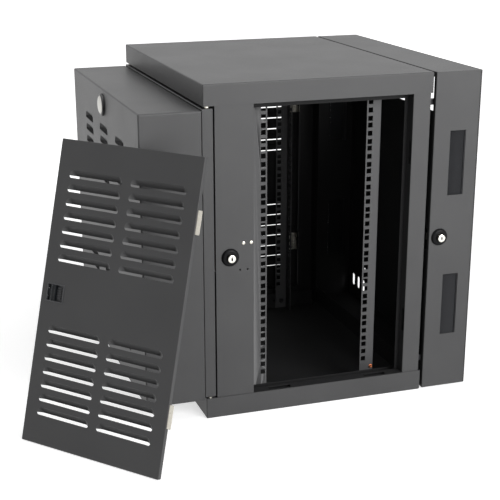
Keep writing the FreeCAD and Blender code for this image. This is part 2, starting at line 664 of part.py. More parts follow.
# ---- panel latch keepers in the front pillars ----
def latch_keeper():
    """Right keeper: a plate behind the pillar's side with a flange behind the opening's flange."""
    y0 = KEEPER_Y - KEEPER_HOLE_PITCH - KEEPER_MARGIN
    tall = KEEPER_HOLE_SPACING / 2 + KEEPER_MARGIN
    inner = OPENING_FRONT - SHEET
    plate = block(KEEPER_X - SHEET, KEEPER_X, y0, inner, KEEPER_Z - tall, KEEPER_Z + tall)
    flange = block(LIP_X + 2 * SHEET, KEEPER_X, inner - SHEET, inner, KEEPER_Z - tall, KEEPER_Z + tall)
    return fused([plate, flange]).cut(latch_holes() + [bolt_slot(inner)])


# ---- key locks on the right side: face is the outside of the sheet that carries the lock ----
def cam_x(face):
    return face - LOCK_INNER_LENGTH - CAM_THICKNESS


def strike_x():
    """Inner face of the strike's arm, clear of the cam's screw; the same for both locks."""
    return cam_x(PILLAR_X) - CAM_SCREW_HEIGHT - 3 * PLATE


def lock_barrel(face, y):
    start = V(face - LOCK_INNER_LENGTH, y, LOCK_HEIGHT)
    length = LOCK_INNER_LENGTH + LOCK_PROTRUSION
    body = bevelled(bar(LOCK_BARREL_RADIUS, start, X_AXIS, length, RING_SIDES), SHEET / 2,
                    lambda middle, edge: edge.BoundBox.XMin > face)
    return body.cut(bore(LOCK_PLUG_RADIUS + RUNNING_CLEARANCE, start - X_AXIS * OVERRUN, X_AXIS,
                         length + 2 * OVERRUN, RING_SIDES))


def lock_nut(face, y):
    place = V(face - SHEET - LOCK_NUT_HEIGHT, y, LOCK_HEIGHT)
    return hexagon(place, LOCK_NUT_FLATS, X_AXIS, LOCK_NUT_HEIGHT).cut(
        bar(LOCK_BARREL_RADIUS, place - X_AXIS * OVERRUN, X_AXIS, LOCK_NUT_HEIGHT + 2 * OVERRUN, RING_SIDES))


def lock_collar(face, y):
    """Bevelled ring between the sheet and the barrel."""
    place = V(face, y, LOCK_HEIGHT)
    ring = bevelled(bar(COLLAR_RADIUS, place, X_AXIS, COLLAR_HEIGHT, RING_SIDES), COLLAR_HEIGHT / 2,
                    lambda middle, edge: edge.BoundBox.XMin > face + SHEET)
    return ring.cut(bar(LOCK_BARREL_RADIUS, place - X_AXIS * OVERRUN, X_AXIS, COLLAR_HEIGHT + 2 * OVERRUN,
                        RING_SIDES))


def lock_plug(face, y):
    """Turning core with its keyway, long enough to carry the cam."""
    start = V(cam_x(face), y, LOCK_HEIGHT)
    length = face + LOCK_PROTRUSION - start.x
    keyway = block(face + LOCK_PROTRUSION - KEYWAY_DEPTH, face + LOCK_PROTRUSION + SHEET,
                   y - KEYWAY_WIDTH / 2, y + KEYWAY_WIDTH / 2,
                   LOCK_HEIGHT - KEYWAY_LENGTH / 2, LOCK_HEIGHT + KEYWAY_LENGTH / 2)
    return rod(LOCK_PLUG_RADIUS, start, X_AXIS, length).cut(keyway)


def lock_cam(face, y):
    """Cam on the plug's end; unlocked it points to the front."""
    x0, x1 = cam_x(face), cam_x(face) + CAM_THICKNESS
    centre = V(x0, y, LOCK_HEIGHT)
    arm = block(x0, x1, y - CAM_REACH, y, LOCK_HEIGHT - CAM_WIDTH / 2, LOCK_HEIGHT + CAM_WIDTH / 2)
    hub = bore(CAM_WIDTH / 2, centre, X_AXIS, CAM_THICKNESS)
    return fused([arm, hub]).cut(bore(LOCK_PLUG_RADIUS, centre, X_AXIS, CAM_THICKNESS, RING_SIDES))


def strike(face, y, foot_y, foot_x):
    """Hooked plate that the turned cam holds; the foot runs from the arm to foot_x at foot_y."""
    x0 = strike_x()
    hook_y = y + CAM_WIDTH / 2 + STRIKE_CLEARANCE
    low, high = LOCK_HEIGHT - STRIKE_BOTTOM, LOCK_HEIGHT + STRIKE_TOP
    arm = block(x0, x0 + PLATE, foot_y, hook_y + PLATE, low, high)
    hook = block(x0, cam_x(face) + CAM_THICKNESS, hook_y, hook_y + PLATE, low, low + STRIKE_HEIGHT)
    foot = block(x0 + PLATE, foot_x, foot_y, foot_y + PLATE, low, high)
    return fused([arm, hook, foot])


def door_strike():
    """On the door frame: its foot lies on the inside of the frame's rear flange."""
    return strike(PILLAR_X, DOOR_LOCK_Y, FRAME_BACK - SHEET - PLATE, FRAME_X - SHEET)


def wall_strike():
    """On the main section: its foot lies on the back of the right rear pillar."""
    return strike(HALF, WALL_LOCK_Y, PILLAR_BACK, PILLAR_X - PILLAR_RETURN / 2 - STRIKE_FOOT)


# ---- front door ----
def door_frame():
    """Folded ring, open inwards, that carries the deep shell and turns on the pivots."""
    outer = block(-FRAME_X, FRAME_X, SHELL_BACK, FRAME_BACK, FRAME_BOTTOM, FRAME_TOP)

    def inside(margin, y0, y1):
        return block(-FRAME_X + margin, FRAME_X - margin, y0, y1, FRAME_BOTTOM + margin, FRAME_TOP - margin)

    channel = inside(SHEET, SHELL_BACK + SHEET, FRAME_BACK - SHEET)
    front = inside(FRAME_FRONT_FLANGE, SHELL_BACK - SHEET, FRAME_BACK)
    rear = inside(FRAME_REAR_FLANGE, SHELL_BACK + SHEET, FRAME_BACK + SHEET)
    pivot_bores = [bore(PIN_RADIUS + RUNNING_CLEARANCE, V(x, PIVOT_Y, z), Z_AXIS, 2 * SHEET)
                   for x in (-PIVOT_X, PIVOT_X)
                   for z in (FRAME_BOTTOM - SHEET / 2, FRAME_TOP - 3 * SHEET / 2)]
    return outer.cut([channel, front, rear] + pivot_bores)


def door_shell():
    """Deep folded shell with rounded upright edges, louvres and a flange round its open back."""
    outer = rounded(block(-SHELL_X, SHELL_X, SHELL_FRONT, SHELL_BACK, SHELL_BOTTOM, SHELL_TOP),
                    SHELL_RADIUS,
                    lambda middle, edge: abs(middle.y - SHELL_FRONT) < SHEET / 2 and runs_along(edge, Z_AXIS))

    def inside(margin, y0, y1):
        return block(-SHELL_X + margin, SHELL_X - margin, y0, y1, SHELL_BOTTOM + margin, SHELL_TOP - margin)

    room = inside(SHEET, SHELL_FRONT + SHEET, SHELL_BACK - SHEET)
    back = inside(SHELL_FLANGE, SHELL_BACK - 2 * SHEET, SHELL_BACK + SHEET)
    bottom_row = SHELL_BOTTOM + DOOR_TOP_ROW
    span = (DOOR_ROWS - 1) * LOUVRE_PITCH
    rows = [SHELL_TOP - DOOR_TOP_ROW - row * LOUVRE_PITCH for row in range(DOOR_ROWS)]
    rows += [bottom_row + span - row * LOUVRE_PITCH for row in range(DOOR_ROWS)]
    columns = [(column - (DOOR_COLUMNS - 1) / 2) * DOOR_COLUMN_PITCH for column in range(DOOR_COLUMNS)]
    places = [V(x, SHELL_FRONT, z) for z in rows for x in columns]
    return with_louvres(outer.cut([room, back]), DOOR_LOUVRE, places, SHEET, -90)


def door_badge():
    """Plain round boss with a bevelled edge near the top of the door."""
    place = V(0, SHELL_FRONT, SHELL_TOP - BADGE_DROP)
    disc = bar(BADGE_RADIUS, place, V(0, -1, 0), BADGE_THICKNESS, BADGE_SIDES)
    return bevelled(disc, BADGE_THICKNESS / 2, lambda middle, edge: edge.BoundBox.YMax < SHELL_FRONT - SHEET)


def pivot_bushes():
    """Plated bushes in the cap's and the pan's return flanges, at both sides: the door can be rehung."""
    bushes = []
    seats = ((PAN_LIP, 1, FRAME_BOTTOM_GAP - SEAT_GAP), (CAP_BOTTOM, -1, FRAME_TOP_GAP - BUSH_TOP_GAP))
    for x in (-PIVOT_X, PIVOT_X):
        for seat, up, reach in seats:
            flange = bar(BUSH_RADIUS, V(x, PIVOT_Y, seat), Z_AXIS * up, reach)
            sleeve = bar(BUSH_SLEEVE_RADIUS, V(x, PIVOT_Y, seat), Z_AXIS * -up, SHEET + BEND_RADIUS)
            drill = bore(PIN_RADIUS, V(x, PIVOT_Y, seat + up * reach), Z_AXIS * -up,
                         reach + SHEET + BEND_RADIUS)
            bushes.append(fused([flange, sleeve]).cut(drill))
    return Part.makeCompound(bushes)


def pivot_pins():
    """The two pins in the left bushes that the door turns on."""
    length = PIN_REACH + FRAME_TOP_GAP
    top = rod(PIN_RADIUS, V(-PIVOT_X, PIVOT_Y, FRAME_TOP - PIN_REACH), Z_AXIS, length + SHEET + BEND_RADIUS)
    low = PAN_LIP - SHEET - BEND_RADIUS
    bottom = rod(PIN_RADIUS, V(-PIVOT_X, PIVOT_Y, low), Z_AXIS, FRAME_BOTTOM + PIN_REACH - low)
    return Part.makeCompound([top, bottom])


# ---- wall section ----
def wall_plate():
    """Plate that is bolted to the wall: four holes, a cable entry and slots near the lower corners."""
    y0, y1 = WALL_BACK - PLATE, WALL_BACK
    plate = block(-HALF, HALF, y0, y1, WALL_CLEARANCE, WALL_TOP)
    holes = [rod(WALL_HOLE_RADIUS, V(x, y0 - PLATE, WALL_HOLE_CENTRE + z), Y_AXIS, 3 * PLATE)
             for x in (-WALL_HOLE_SPACING / 2, WALL_HOLE_SPACING / 2)
             for z in (-WALL_HOLE_RISE / 2, WALL_HOLE_RISE / 2)]
    entry = bevelled(block(-CABLE_ENTRY_WIDTH / 2, CABLE_ENTRY_WIDTH / 2, y0 - PLATE, y1 + PLATE,
                           CABLE_ENTRY_CENTRE - CABLE_ENTRY_HEIGHT / 2,
                           CABLE_ENTRY_CENTRE + CABLE_ENTRY_HEIGHT / 2),
                     CABLE_ENTRY_BEVEL, lambda middle, edge: runs_along(edge, Y_AXIS))
    vents = [slot(V(side * (HALF - VENT_MARGIN - k * VENT_PITCH), (y0 + y1) / 2, VENT_CENTRE),
                  Z_AXIS, X_AXIS, VENT_HEIGHT, VENT_WIDTH, 3 * PLATE)
             for side in (-1, 1) for k in range(VENT_COUNT)]
    return plate.cut(holes + [entry] + vents)


def port_centres():
    return [PORT_CENTRE + up for up in (-PORT_SPACING / 2, PORT_SPACING / 2)]


def wall_side(has_lock):
    """Right side of the wall section, with two brush ports."""
    path = [(HALF - WALL_RETURN, WALL_FRONT), (HALF, WALL_FRONT), (HALF, WALL_BACK - PLATE),
            (HALF - WALL_REAR_FLANGE, WALL_BACK - PLATE)]
    side = upright(path, SHEET, WALL_CLEARANCE, WALL_TOP)
    holes = [block(HALF - 2 * SHEET, HALF + SHEET, PORT_Y - PORT_WIDTH / 2, PORT_Y + PORT_WIDTH / 2,
                   z - PORT_HEIGHT / 2, z + PORT_HEIGHT / 2) for z in port_centres()]
    if has_lock:
        lock_start = V(HALF - 3 * SHEET, WALL_LOCK_Y, LOCK_HEIGHT)
        holes.append(bar(LOCK_BARREL_RADIUS, lock_start, X_AXIS, 4 * SHEET, RING_SIDES))
    return side.cut(holes)


def wall_lid(z_out, up):
    """Top of the wall section between its sides, or the bottom where up is -1."""
    x_web = HALF - SHEET
    x_front = HALF - WALL_RETURN - SEAT_GAP
    x_rear = HALF - WALL_REAR_FLANGE - SEAT_GAP
    rear = WALL_BACK - PLATE
    web = block(-x_web, x_web, WALL_FRONT + SHEET, rear, z_out, z_out - up * SHEET)
    lip = block(-x_front, x_front, WALL_FRONT, WALL_FRONT + 2 * SHEET, z_out, z_out - up * SHEET)
    front = block(-x_front, x_front, WALL_FRONT, WALL_FRONT + SHEET, z_out, z_out - up * WALL_RETURN)
    back = block(-x_rear, x_rear, rear - SHEET, rear, z_out, z_out - up * WALL_REAR_FLANGE)
    low, high = z_out - 2 * SHEET, z_out + 2 * SHEET
    corners = [block(side * x_rear, side * x_web, rear - SHEET - SEAT_GAP, rear, low, high)
               for side in (-1, 1)]
    corners += [block(side * x_front, side * x_web, WALL_FRONT, WALL_FRONT + SHEET + SEAT_GAP, low, high)
                for side in (-1, 1)]
    return fused([web, lip, front, back]).cut(corners)


def brush_places():
    """Inner face of the right wall side at each port's rear edge, and the port's middle height."""
    return [(HALF - SHEET, PORT_Y + PORT_WIDTH / 2, z) for z in port_centres()]


def brush_holders():
    """Aluminium channels behind the rear edges of the right ports."""
    holders = []
    for x, y, z in brush_places():
        tall = PORT_HEIGHT / 2 + BRUSH_MARGIN
        front = y - SHEET
        bar = block(x - BRUSH_HOLDER_DEPTH, x, front, front + BRUSH_HOLDER_WIDTH, z - tall, z + tall)
        centre = x - BRUSH_HOLDER_DEPTH / 2
        groove = block(centre - BRUSH_THICKNESS / 2, centre + BRUSH_THICKNESS / 2, y - 2 * SHEET,
                       y + BRUSH_HOLDER_WIDTH / 2, z - tall, z + tall)
        holders.append(bar.cut(groove))
    return holders


def brush_bristles():
    """Bristle slabs, rooted in the holders and reaching just past the ports' front edges."""
    slabs = []
    for x, y, z in brush_places():
        tall = PORT_HEIGHT / 2 + BRUSH_MARGIN / 2
        centre = x - BRUSH_HOLDER_DEPTH / 2
        slabs.append(block(centre - BRUSH_THICKNESS / 2, centre + BRUSH_THICKNESS / 2,
                           y - PORT_WIDTH - BRUSH_OVERLAP, y + BRUSH_HOLDER_WIDTH / 2, z - tall, z + tall))
    return slabs


# ---- swing hinges and guides ----
def hinge_drill(radius, z0, z1):
    """Drill along the hinge line, a little longer than what it goes through."""
    return bore(radius, V(HINGE_X, HINGE_Y, z0 - OVERRUN), Z_AXIS, z1 - z0 + 2 * OVERRUN, KNUCKLE_SIDES)


def knuckle(z0, z1):
    return bore(HINGE_RADIUS, V(HINGE_X, HINGE_Y, z0), Z_AXIS, z1 - z0, KNUCKLE_SIDES)


def hinge_steps(centre):
    """Heights where a hinge's three knuckles begin and end."""
    low, third = centre - HINGE_HEIGHT / 2, HINGE_HEIGHT / 3
    return [(low + k * third + HINGE_KNUCKLE_GAP / 2, low + (k + 1) * third - HINGE_KNUCKLE_GAP / 2)
            for k in range(3)]


def wall_leaves():
    """Leaves on the outside of the left wall side, with the outer knuckles."""
    leaves = []
    for centre in HINGE_CENTRES:
        steps = hinge_steps(centre)
        outer = -HALF - PLATE
        plate = block(outer, -HALF, HINGE_Y + HINGE_RADIUS + SEAT_GAP, HINGE_Y + HINGE_LEAF,
                      steps[0][0], steps[2][1])
        pieces = [plate]
        for z0, z1 in (steps[0], steps[2]):
            pieces.append(knuckle(z0, z1))
            pieces.append(block(outer, -HALF, HINGE_Y, HINGE_Y + HINGE_RADIUS + SHEET, z0, z1))
        leaves.append(fused(pieces).cut(hinge_drill(HINGE_PIN_RADIUS, steps[0][0], steps[2][1])))
    return Part.makeCompound(leaves)


def main_leaves():
    """Leaves on the outside of the left rear pillar, with the middle knuckles."""
    leaves = []
    for centre in HINGE_CENTRES:
        steps = hinge_steps(centre)
        z0, z1 = steps[1]
        plate = block(-PILLAR_X - PLATE, -PILLAR_X, HINGE_Y - HINGE_LEAF, HINGE_Y - HINGE_RADIUS - SEAT_GAP,
                      steps[0][0], steps[2][1])
        neck = block(-HALF - HINGE_RADIUS + HINGE_PIN_RADIUS, -PILLAR_X - PLATE / 4,
                     HINGE_Y - HINGE_RADIUS, HINGE_Y - HINGE_PIN_RADIUS, z0, z1)
        tie = block(-PILLAR_X - PLATE, -PILLAR_X, HINGE_Y - HINGE_RADIUS - 2 * SHEET,
                    HINGE_Y - HINGE_PIN_RADIUS, z0, z1)
        drill = hinge_drill(HINGE_PIN_RADIUS + RUNNING_CLEARANCE, z0, z1)
        leaves.append(fused([plate, tie, neck, knuckle(z0, z1)]).cut(drill))
    return Part.makeCompound(leaves)


def hinge_pins():
    """Pins tight in the wall leaves' knuckles, with a head above and below."""
    pins = []
    for centre in HINGE_CENTRES:
        low, high = hinge_steps(centre)[0][0], hinge_steps(centre)[2][1]
        pin = rod(HINGE_PIN_RADIUS, V(HINGE_X, HINGE_Y, low), Z_AXIS, high - low)
        heads = [bar(HINGE_PIN_RADIUS + SHEET, V(HINGE_X, HINGE_Y, z), Z_AXIS, HINGE_PIN_HEAD)
                 for z in (low - HINGE_PIN_HEAD, high)]
        pins.append(fused([pin] + heads))
    return Part.makeCompound(pins)


def swing_guides():
    """Plated tongues on the right rear pillar that enter the wall section as it closes."""
    x1 = HALF - WALL_RETURN - GUIDE_CLEARANCE
    guides = []
    for z in GUIDE_CENTRES:
        low, high = z - GUIDE_HEIGHT / 2, z + GUIDE_HEIGHT / 2
        tongue = block(x1 - PLATE, x1, PILLAR_BACK, PILLAR_BACK + GUIDE_REACH, low, high)
        foot = block(x1 - GUIDE_FOOT, x1, PILLAR_BACK, PILLAR_BACK + PLATE, low, high)
        guides.append(fused([tongue, foot]))
    return Part.makeCompound(guides)


# ---- assembly ----
def build():
    """Every node's name and shape."""
    group = Part.makeCompound
    lean, hung = leaning(), hung_right()
    parts = {
        "top_cap": tray(HEIGHT, CAP_BOTTOM),
        "bottom_pan": tray(0, PAN_LIP),
        "pillar_front_right": front_pillar(True),
        "pillar_front_left": mirrored(front_pillar(False)),
        "pillar_rear_right": rear_pillar(),
        "pillar_rear_left": mirrored(rear_pillar()),
        "sill_right": sill(),
        "sill_left": mirrored(sill()),
        "header_right": header(),
        "header_left": mirrored(header()),
        "rail_tracks_lower": group(both_sides(track(SHEET, 1))),
        "rail_tracks_upper": group(both_sides(track(INSIDE_TOP, -1))),
        "rail_bolts": group([side for bolt in rail_bolts() for side in both_sides(bolt)]),
        "rail_nuts": group([side for nut in rail_nuts() for side in both_sides(nut)]),
        "earth_screw": earth_screw(),
        "latch_keepers": group(both_sides(latch_keeper())),
        "pivot_bushes": pivot_bushes(),
        "pivot_pins": pivot_pins(),
        "door_frame": door_frame(),
        "door_shell": door_shell(),
        "door_badge": door_badge(),
        "door_strike": door_strike(),
        "wall_plate": wall_plate(),
        "wall_side_right": wall_side(True),
        "wall_side_left": mirrored(wall_side(False)),
        "wall_top": wall_lid(WALL_TOP, 1),
        "wall_bottom": wall_lid(WALL_CLEARANCE, -1),
        "brush_holders": group([side for bar in brush_holders() for side in both_sides(bar)]),
        "brush_bristles": group([side for slab in brush_bristles() for side in both_sides(slab)]),
        "swing_hinge_wall_leaves": wall_leaves(),
        "swing_hinge_main_leaves": main_leaves(),
        "swing_hinge_pins": hinge_pins(),
        "swing_guides": swing_guides(),
        "wall_strike": wall_strike(),
    }
    for name, face, back, left_holes in (("rail_front", FRONT_RAIL, 1, False),
                                         ("rail_rear", REAR_RAIL, -1, True)):
        parts[f"{name}_right"] = rail(face, back, True)
        parts[f"{name}_left"] = mirrored(rail(face, back, left_holes))
    for name, face, y in (("door", PILLAR_X, DOOR_LOCK_Y), ("wall", HALF, WALL_LOCK_Y)):
        for piece, make in (("barrel", lock_barrel), ("nut", lock_nut), ("collar", lock_collar),
                            ("plug", lock_plug), ("cam", lock_cam)):
            parts[f"{name}_lock_{piece}"] = make(face, y)
    for name, make in (("panel", panel_sheet), ("panel_hooks", panel_hooks),
                       ("latch_housing", latch_housing), ("latch_slider", latch_slider)):
        shape = make()
        parts[f"right_{name}"] = placed(shape, lean)
        parts[f"left_{name}"] = mirrored(placed(shape, hung))
    return parts


def main():
    os.makedirs("parts", exist_ok=True)
    for name, shape in build().items():
        shape.translate(-ORIGIN)
        shape.exportStep(os.path.join("parts", f"{name}.step"))
        print(f"{name:26s} {len(shape.Solids):3d} solids  {shape.Volume / 1000:9.1f} cm3")


if __name__ == "__main__":
    main()
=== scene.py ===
from math import cos, pi, radians, sin, tau
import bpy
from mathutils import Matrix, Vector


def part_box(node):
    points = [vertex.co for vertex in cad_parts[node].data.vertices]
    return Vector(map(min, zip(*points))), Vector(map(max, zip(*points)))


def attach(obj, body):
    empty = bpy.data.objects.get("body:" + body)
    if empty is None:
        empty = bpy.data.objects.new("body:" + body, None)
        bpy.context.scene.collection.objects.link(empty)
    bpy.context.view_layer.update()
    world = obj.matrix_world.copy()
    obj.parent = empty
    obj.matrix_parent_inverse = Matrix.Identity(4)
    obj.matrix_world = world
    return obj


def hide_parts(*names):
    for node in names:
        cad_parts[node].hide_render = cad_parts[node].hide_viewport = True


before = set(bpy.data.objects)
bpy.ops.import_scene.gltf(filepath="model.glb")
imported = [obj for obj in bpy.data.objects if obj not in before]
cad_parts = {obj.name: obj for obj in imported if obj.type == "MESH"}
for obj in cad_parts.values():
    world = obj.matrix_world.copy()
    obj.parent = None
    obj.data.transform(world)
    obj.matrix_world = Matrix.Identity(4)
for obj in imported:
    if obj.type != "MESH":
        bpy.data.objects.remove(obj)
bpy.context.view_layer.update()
from types import SimpleNamespace
import bmesh
import bpy
from mathutils import Matrix, Vector

# ---- the view
# A long lens from the cabinet's right and a little above, as a catalogue shows such a cabinet.
# The small shift frames it without tilting its uprights.
VIEW_PLACE = Vector((2.2934, -1.1308, 0.6433))
VIEW_AIM = Vector((-0.8991, 0.2945, -0.3238))
VIEW_ROLL = radians(-0.21)


def in_scene(name, data):
    """A new object in the scene, with its mesh, lamp or lens."""
    thing = bpy.data.objects.new(name, data)
    bpy.context.scene.collection.objects.link(thing)
    return thing


lens = bpy.data.cameras.new("studio_camera")
lens.lens = 85.3
lens.sensor_width = 36.0
lens.shift_x = 0.0154
lens.shift_y = 0.0871
camera = in_scene("studio_camera", lens)
view_turn = VIEW_AIM.to_track_quat("-Z", "Y").to_matrix() @ Matrix.Rotation(VIEW_ROLL, 3, "Z")
camera.matrix_world = Matrix.Translation(VIEW_PLACE) @ view_turn.to_4x4()
bpy.context.scene.camera = camera


# ---- cap and pan
# Two trays of 1.5 mm steel that close the main section above and below. They are folded, welded
# at the corners and coated in fine-textured black powder, and their front lips turn inwards.
def working(operation, turned=False):
    """An operator that adds a Math node; turned is for a plain number on its left."""
    return lambda self, other: self.worked(operation, other, turned)


class Value:
    """One output in a node tree; sums of such values add the nodes that work them out."""

    def __init__(self, net, socket):
        self.net = net
        self.socket = socket

    def worked(self, operation, other=None, turned=False):
        pair = (other, self) if turned else (self, other)
        return self.net.node("ShaderNodeMath", {0: pair[0], 1: pair[1]}, operation=operation)

    __add__, __radd__ = working("ADD"), working("ADD", True)
    __sub__, __rsub__ = working("SUBTRACT"), working("SUBTRACT", True)
    __mul__, __rmul__ = working("MULTIPLY"), working("MULTIPLY", True)
    __truediv__, __rtruediv__ = working("DIVIDE"), working("DIVIDE", True)
    __pow__, __gt__, __lt__ = working("POWER"), working("GREATER_THAN"), working("LESS_THAN")


class Net:
    """A node tree that is filled one node at a time."""

    def __init__(self, tree):
        self.tree = tree

    def node(self, kind, inputs=None, output=0, **settings):
        """Adds a node, joins or sets its inputs, and gives back one of its outputs."""
        made = self.tree.nodes.new(kind)
        for name, value in settings.items():
            setattr(made, name, value)
        for name, value in (inputs or {}).items():
            if isinstance(value, Value):
                self.tree.links.new(value.socket, made.inputs[name])
            elif value is not None:
                made.inputs[name].default_value = value
        return Value(self, made.outputs[output])

    def vector(self, **axes):
        """A vector from its X, Y and Z, which are 0 where they aren't given."""
        return self.node("ShaderNodeCombineXYZ", axes)

    def moved(self, shape, turn=None, **axes):
        """A shape that is turned, then moved along the axes."""
        return self.node("GeometryNodeTransform",
                         {0: shape, "Rotation": turn, "Translation": self.vector(**axes)})

    def joined(self, *shapes):
        """Several shapes as one."""
        join = self.tree.nodes.new("GeometryNodeJoinGeometry")
        for shape in shapes:
            self.tree.links.new(shape.socket, join.inputs[0])
        return Value(self, join.outputs[0])


class Finish(Net):
    """A material: its shader's plain sockets are set, and the varying ones are joined."""

    def __init__(self, name, **sockets):
        self.material = bpy.data.materials.new(name)
        self.material.use_nodes = True
        super().__init__(self.material.node_tree)
        self.tree.nodes.clear()
        self.shader = self.tree.nodes.new("ShaderNodeBsdfPrincipled")
        output = self.tree.nodes.new("ShaderNodeOutputMaterial")
        self.tree.links.new(self.shader.outputs[0], output.inputs[0])
        for socket, value in sockets.items():
            self.feed(socket.replace("_", " "), value)
        self.place = self.node("ShaderNodeTexCoord", output="Object")

    def feed(self, socket, value):
        if isinstance(value, Value):
            self.tree.links.new(value.socket, self.shader.inputs[socket])
        else:
            self.shader.inputs[socket].default_value = value

    def noise(self, scale, detail=2.0, rough=0.5, stretch=None):
        """Soft noise from 0 to 1, with so many features to the metre."""
        place = self.place
        if stretch:
            place = self.node("ShaderNodeMapping", {"Vector": place, "Scale": stretch})
        return self.node("ShaderNodeTexNoise",
                         {"Vector": place, "Scale": scale, "Detail": detail, "Roughness": rough})

    def blend(self, share, first, second):
        """Colour between two, by a share from 0 to 1."""
        return self.node("ShaderNodeMix", {0: share, 6: (*first, 1.0), 7: (*second, 1.0)}, output=2,
                         data_type="RGBA")

    def bump(self, height, strength, depth):
        self.feed("Normal", self.node("ShaderNodeBump",
                                      {"Height": height, "Strength": strength, "Distance": depth}))


def mottled(name, noise, dark, light, smooth, swing, bump=None, **sockets):
    """A finish whose shade and roughness follow one noise, which may also rise and fall."""
    finish = Finish(name, **sockets)
    grain = finish.noise(*noise)
    finish.feed("Base Color", finish.blend(grain, dark, light))
    finish.feed("Roughness", smooth + grain * swing)
    if bump:
        finish.bump(grain, *bump)
    return finish.material


def powder_coat(name, dark, light, roughness, grain, room=None):
    """Baked powder: a fine orange-peel texture, with slow changes of shade and gloss.

    Inside a room, given by two corners, the coat is painted nearly pure black and made flatter: painted shade
    for the unlit inside of the cabinet.
    """
    coat = Finish(name, Specular_IOR_Level=0.3)
    peel = coat.noise(grain, 3.0, 0.6)
    clouds = coat.noise(9.0, 2.0)
    colour = coat.blend(clouds * 0.6 + peel * 0.4, dark, light)
    gloss = roughness + (clouds - 0.5) * 0.10 + (peel - 0.5) * 0.16
    if room:
        in_painted_shade = 1.0
        for axis in range(3):
            reach = coat.node("ShaderNodeSeparateXYZ", {0: coat.place}, output=axis)
            in_painted_shade = (reach > room[0][axis]) * (reach < room[1][axis]) * in_painted_shade
        # Painted shade: inside the room the coat's colour turns nearly pure black, as the unlit inside of the
        # cabinet looks; it is also made rougher there.
        colour = coat.node("ShaderNodeMix", {0: in_painted_shade, 6: colour, 7: (0.006, 0.006, 0.0065, 1.0)},
                           output=2, data_type="RGBA")
        gloss = gloss + in_painted_shade * 0.35
    coat.feed("Base Color", colour)
    coat.feed("Roughness", gloss)
    coat.bump(peel, 0.35, 0.00022)
    return coat.material


cap_low, cap_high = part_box("top_cap")
pan_low, pan_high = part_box("bottom_pan")
plate_low, plate_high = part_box("wall_plate")
STEEL = 0.0015
SKIN = 0.0003            # the outer coat and the painted shade inside meet this deep in a sheet
PAINTED_SHADE_FRONT = 0.028       # the painted shade inside begins this far behind the cap's front
painted_shade_room = ((pan_low.x + STEEL - SKIN, cap_low.y + PAINTED_SHADE_FRONT, pan_low.z + STEEL - SKIN),
               (pan_high.x - STEEL - 2 * SKIN, plate_low.y + SKIN, cap_high.z - STEEL + SKIN))
coat = powder_coat("black_powder_coat", (0.034, 0.034, 0.035), (0.058, 0.058, 0.059), 0.44, 1100.0,
                   painted_shade_room)


def merged(work, gap):
    """Joins the corners that meet within a gap, and turns the faces outwards."""
    bmesh.ops.remove_doubles(work, verts=work.verts, dist=gap)
    bmesh.ops.recalc_face_normals(work, faces=work.faces)


def welded(node):
    """Copy of a frame node's mesh, with its loose triangles joined into whole faces."""
    work = bmesh.new()
    work.from_mesh(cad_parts[node].data)
    bmesh.ops.remove_doubles(work, verts=work.verts, dist=1e-6)
    bmesh.ops.dissolve_limit(work, angle_limit=radians(0.5), verts=work.verts, edges=work.edges)
    return work


def plain(thing, name):
    """Mesh of an object with its modifiers run. The object itself is taken away."""
    state = bpy.context.evaluated_depsgraph_get()
    mesh = bpy.data.meshes.new_from_object(thing.evaluated_get(state))
    source = thing.data
    thing.modifiers.clear()
    bpy.data.objects.remove(thing)
    bpy.data.meshes.remove(source)
    mesh.name = name
    return mesh


def meshed(work, name, finish, sharp=35.0):
    """Plain mesh from mesh work: its flats stay flat, its bends smooth and its edges sharp."""
    made = bpy.data.meshes.new(name)
    work.to_mesh(made)
    work.free()
    made.materials.append(finish)
    made.shade_smooth()
    made.set_sharp_from_angle(angle=radians(sharp))
    holder = in_scene(name, made)
    level = holder.modifiers.new("level", "WEIGHTED_NORMAL")
    level.keep_sharp = True
    level.weight = 90
    return plain(holder, name)


def fitted(name, made, body, slot, *nodes):
    """Puts a finished mesh in the scene in place of frame nodes, riding on a body."""
    thing = in_scene(name, made)
    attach(thing, body)
    if nodes:
        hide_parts(*nodes)
    return thing


def formed(name, work, finish, *fitting):
    """Makes a piece of mesh work in its finish, and fits it."""
    fitted(name, meshed(work, name, finish), *fitting)


def box_into(work, low, high):
    """Adds a plain box to mesh work and gives back its corners."""
    low, high = Vector(low), Vector(high)
    size = Matrix.Diagonal((*(high - low), 1.0))
    made = bmesh.ops.create_cube(work, size=1.0, matrix=Matrix.Translation((low + high) / 2) @ size)
    return made["verts"]


TRAY_BEND = 0.0022


def bevelled(work, edges, offset, segments, clamp=False):
    bmesh.ops.bevel(work, geom=edges, offset=offset, segments=segments, affect="EDGES", profile=0.5,
                    clamp_overlap=clamp)


TRAY_RETURN = 0.018
for tray, closed_side in (("top_cap", 1), ("bottom_pan", -1)):
    low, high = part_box(tray)
    work = bmesh.new()
    box_into(work, low, high)
    z_open = low.z if closed_side > 0 else high.z
    mouth = [face for face in work.faces if abs(face.calc_center_median().z - z_open) < 1e-4]
    bmesh.ops.delete(work, geom=mouth, context="FACES_ONLY")
    bends = [edge for edge in work.edges if not edge.is_boundary]
    bevelled(work, bends, TRAY_BEND, 4)
    bmesh.ops.recalc_face_normals(work, faces=work.faces)
    bmesh.ops.solidify(work, geom=work.faces, thickness=STEEL)
    box_into(work, (low.x + 0.002, low.y + STEEL, z_open),
             (high.x - 0.002, low.y + STEEL + TRAY_RETURN, z_open + closed_side * STEEL))
    formed(f"{tray}_folded", work, coat, "main_body", "black_coat", tray)


# ---- pillars, sills and headers
# Folded steel of the same gauge between the cap and the pan, spot-welded to both and coated with
# them. The front pillars carry the lock and the latch keepers. Their bends are round outside.
PILLAR_BEND = 0.0014
CUT_EDGE = 0.00025


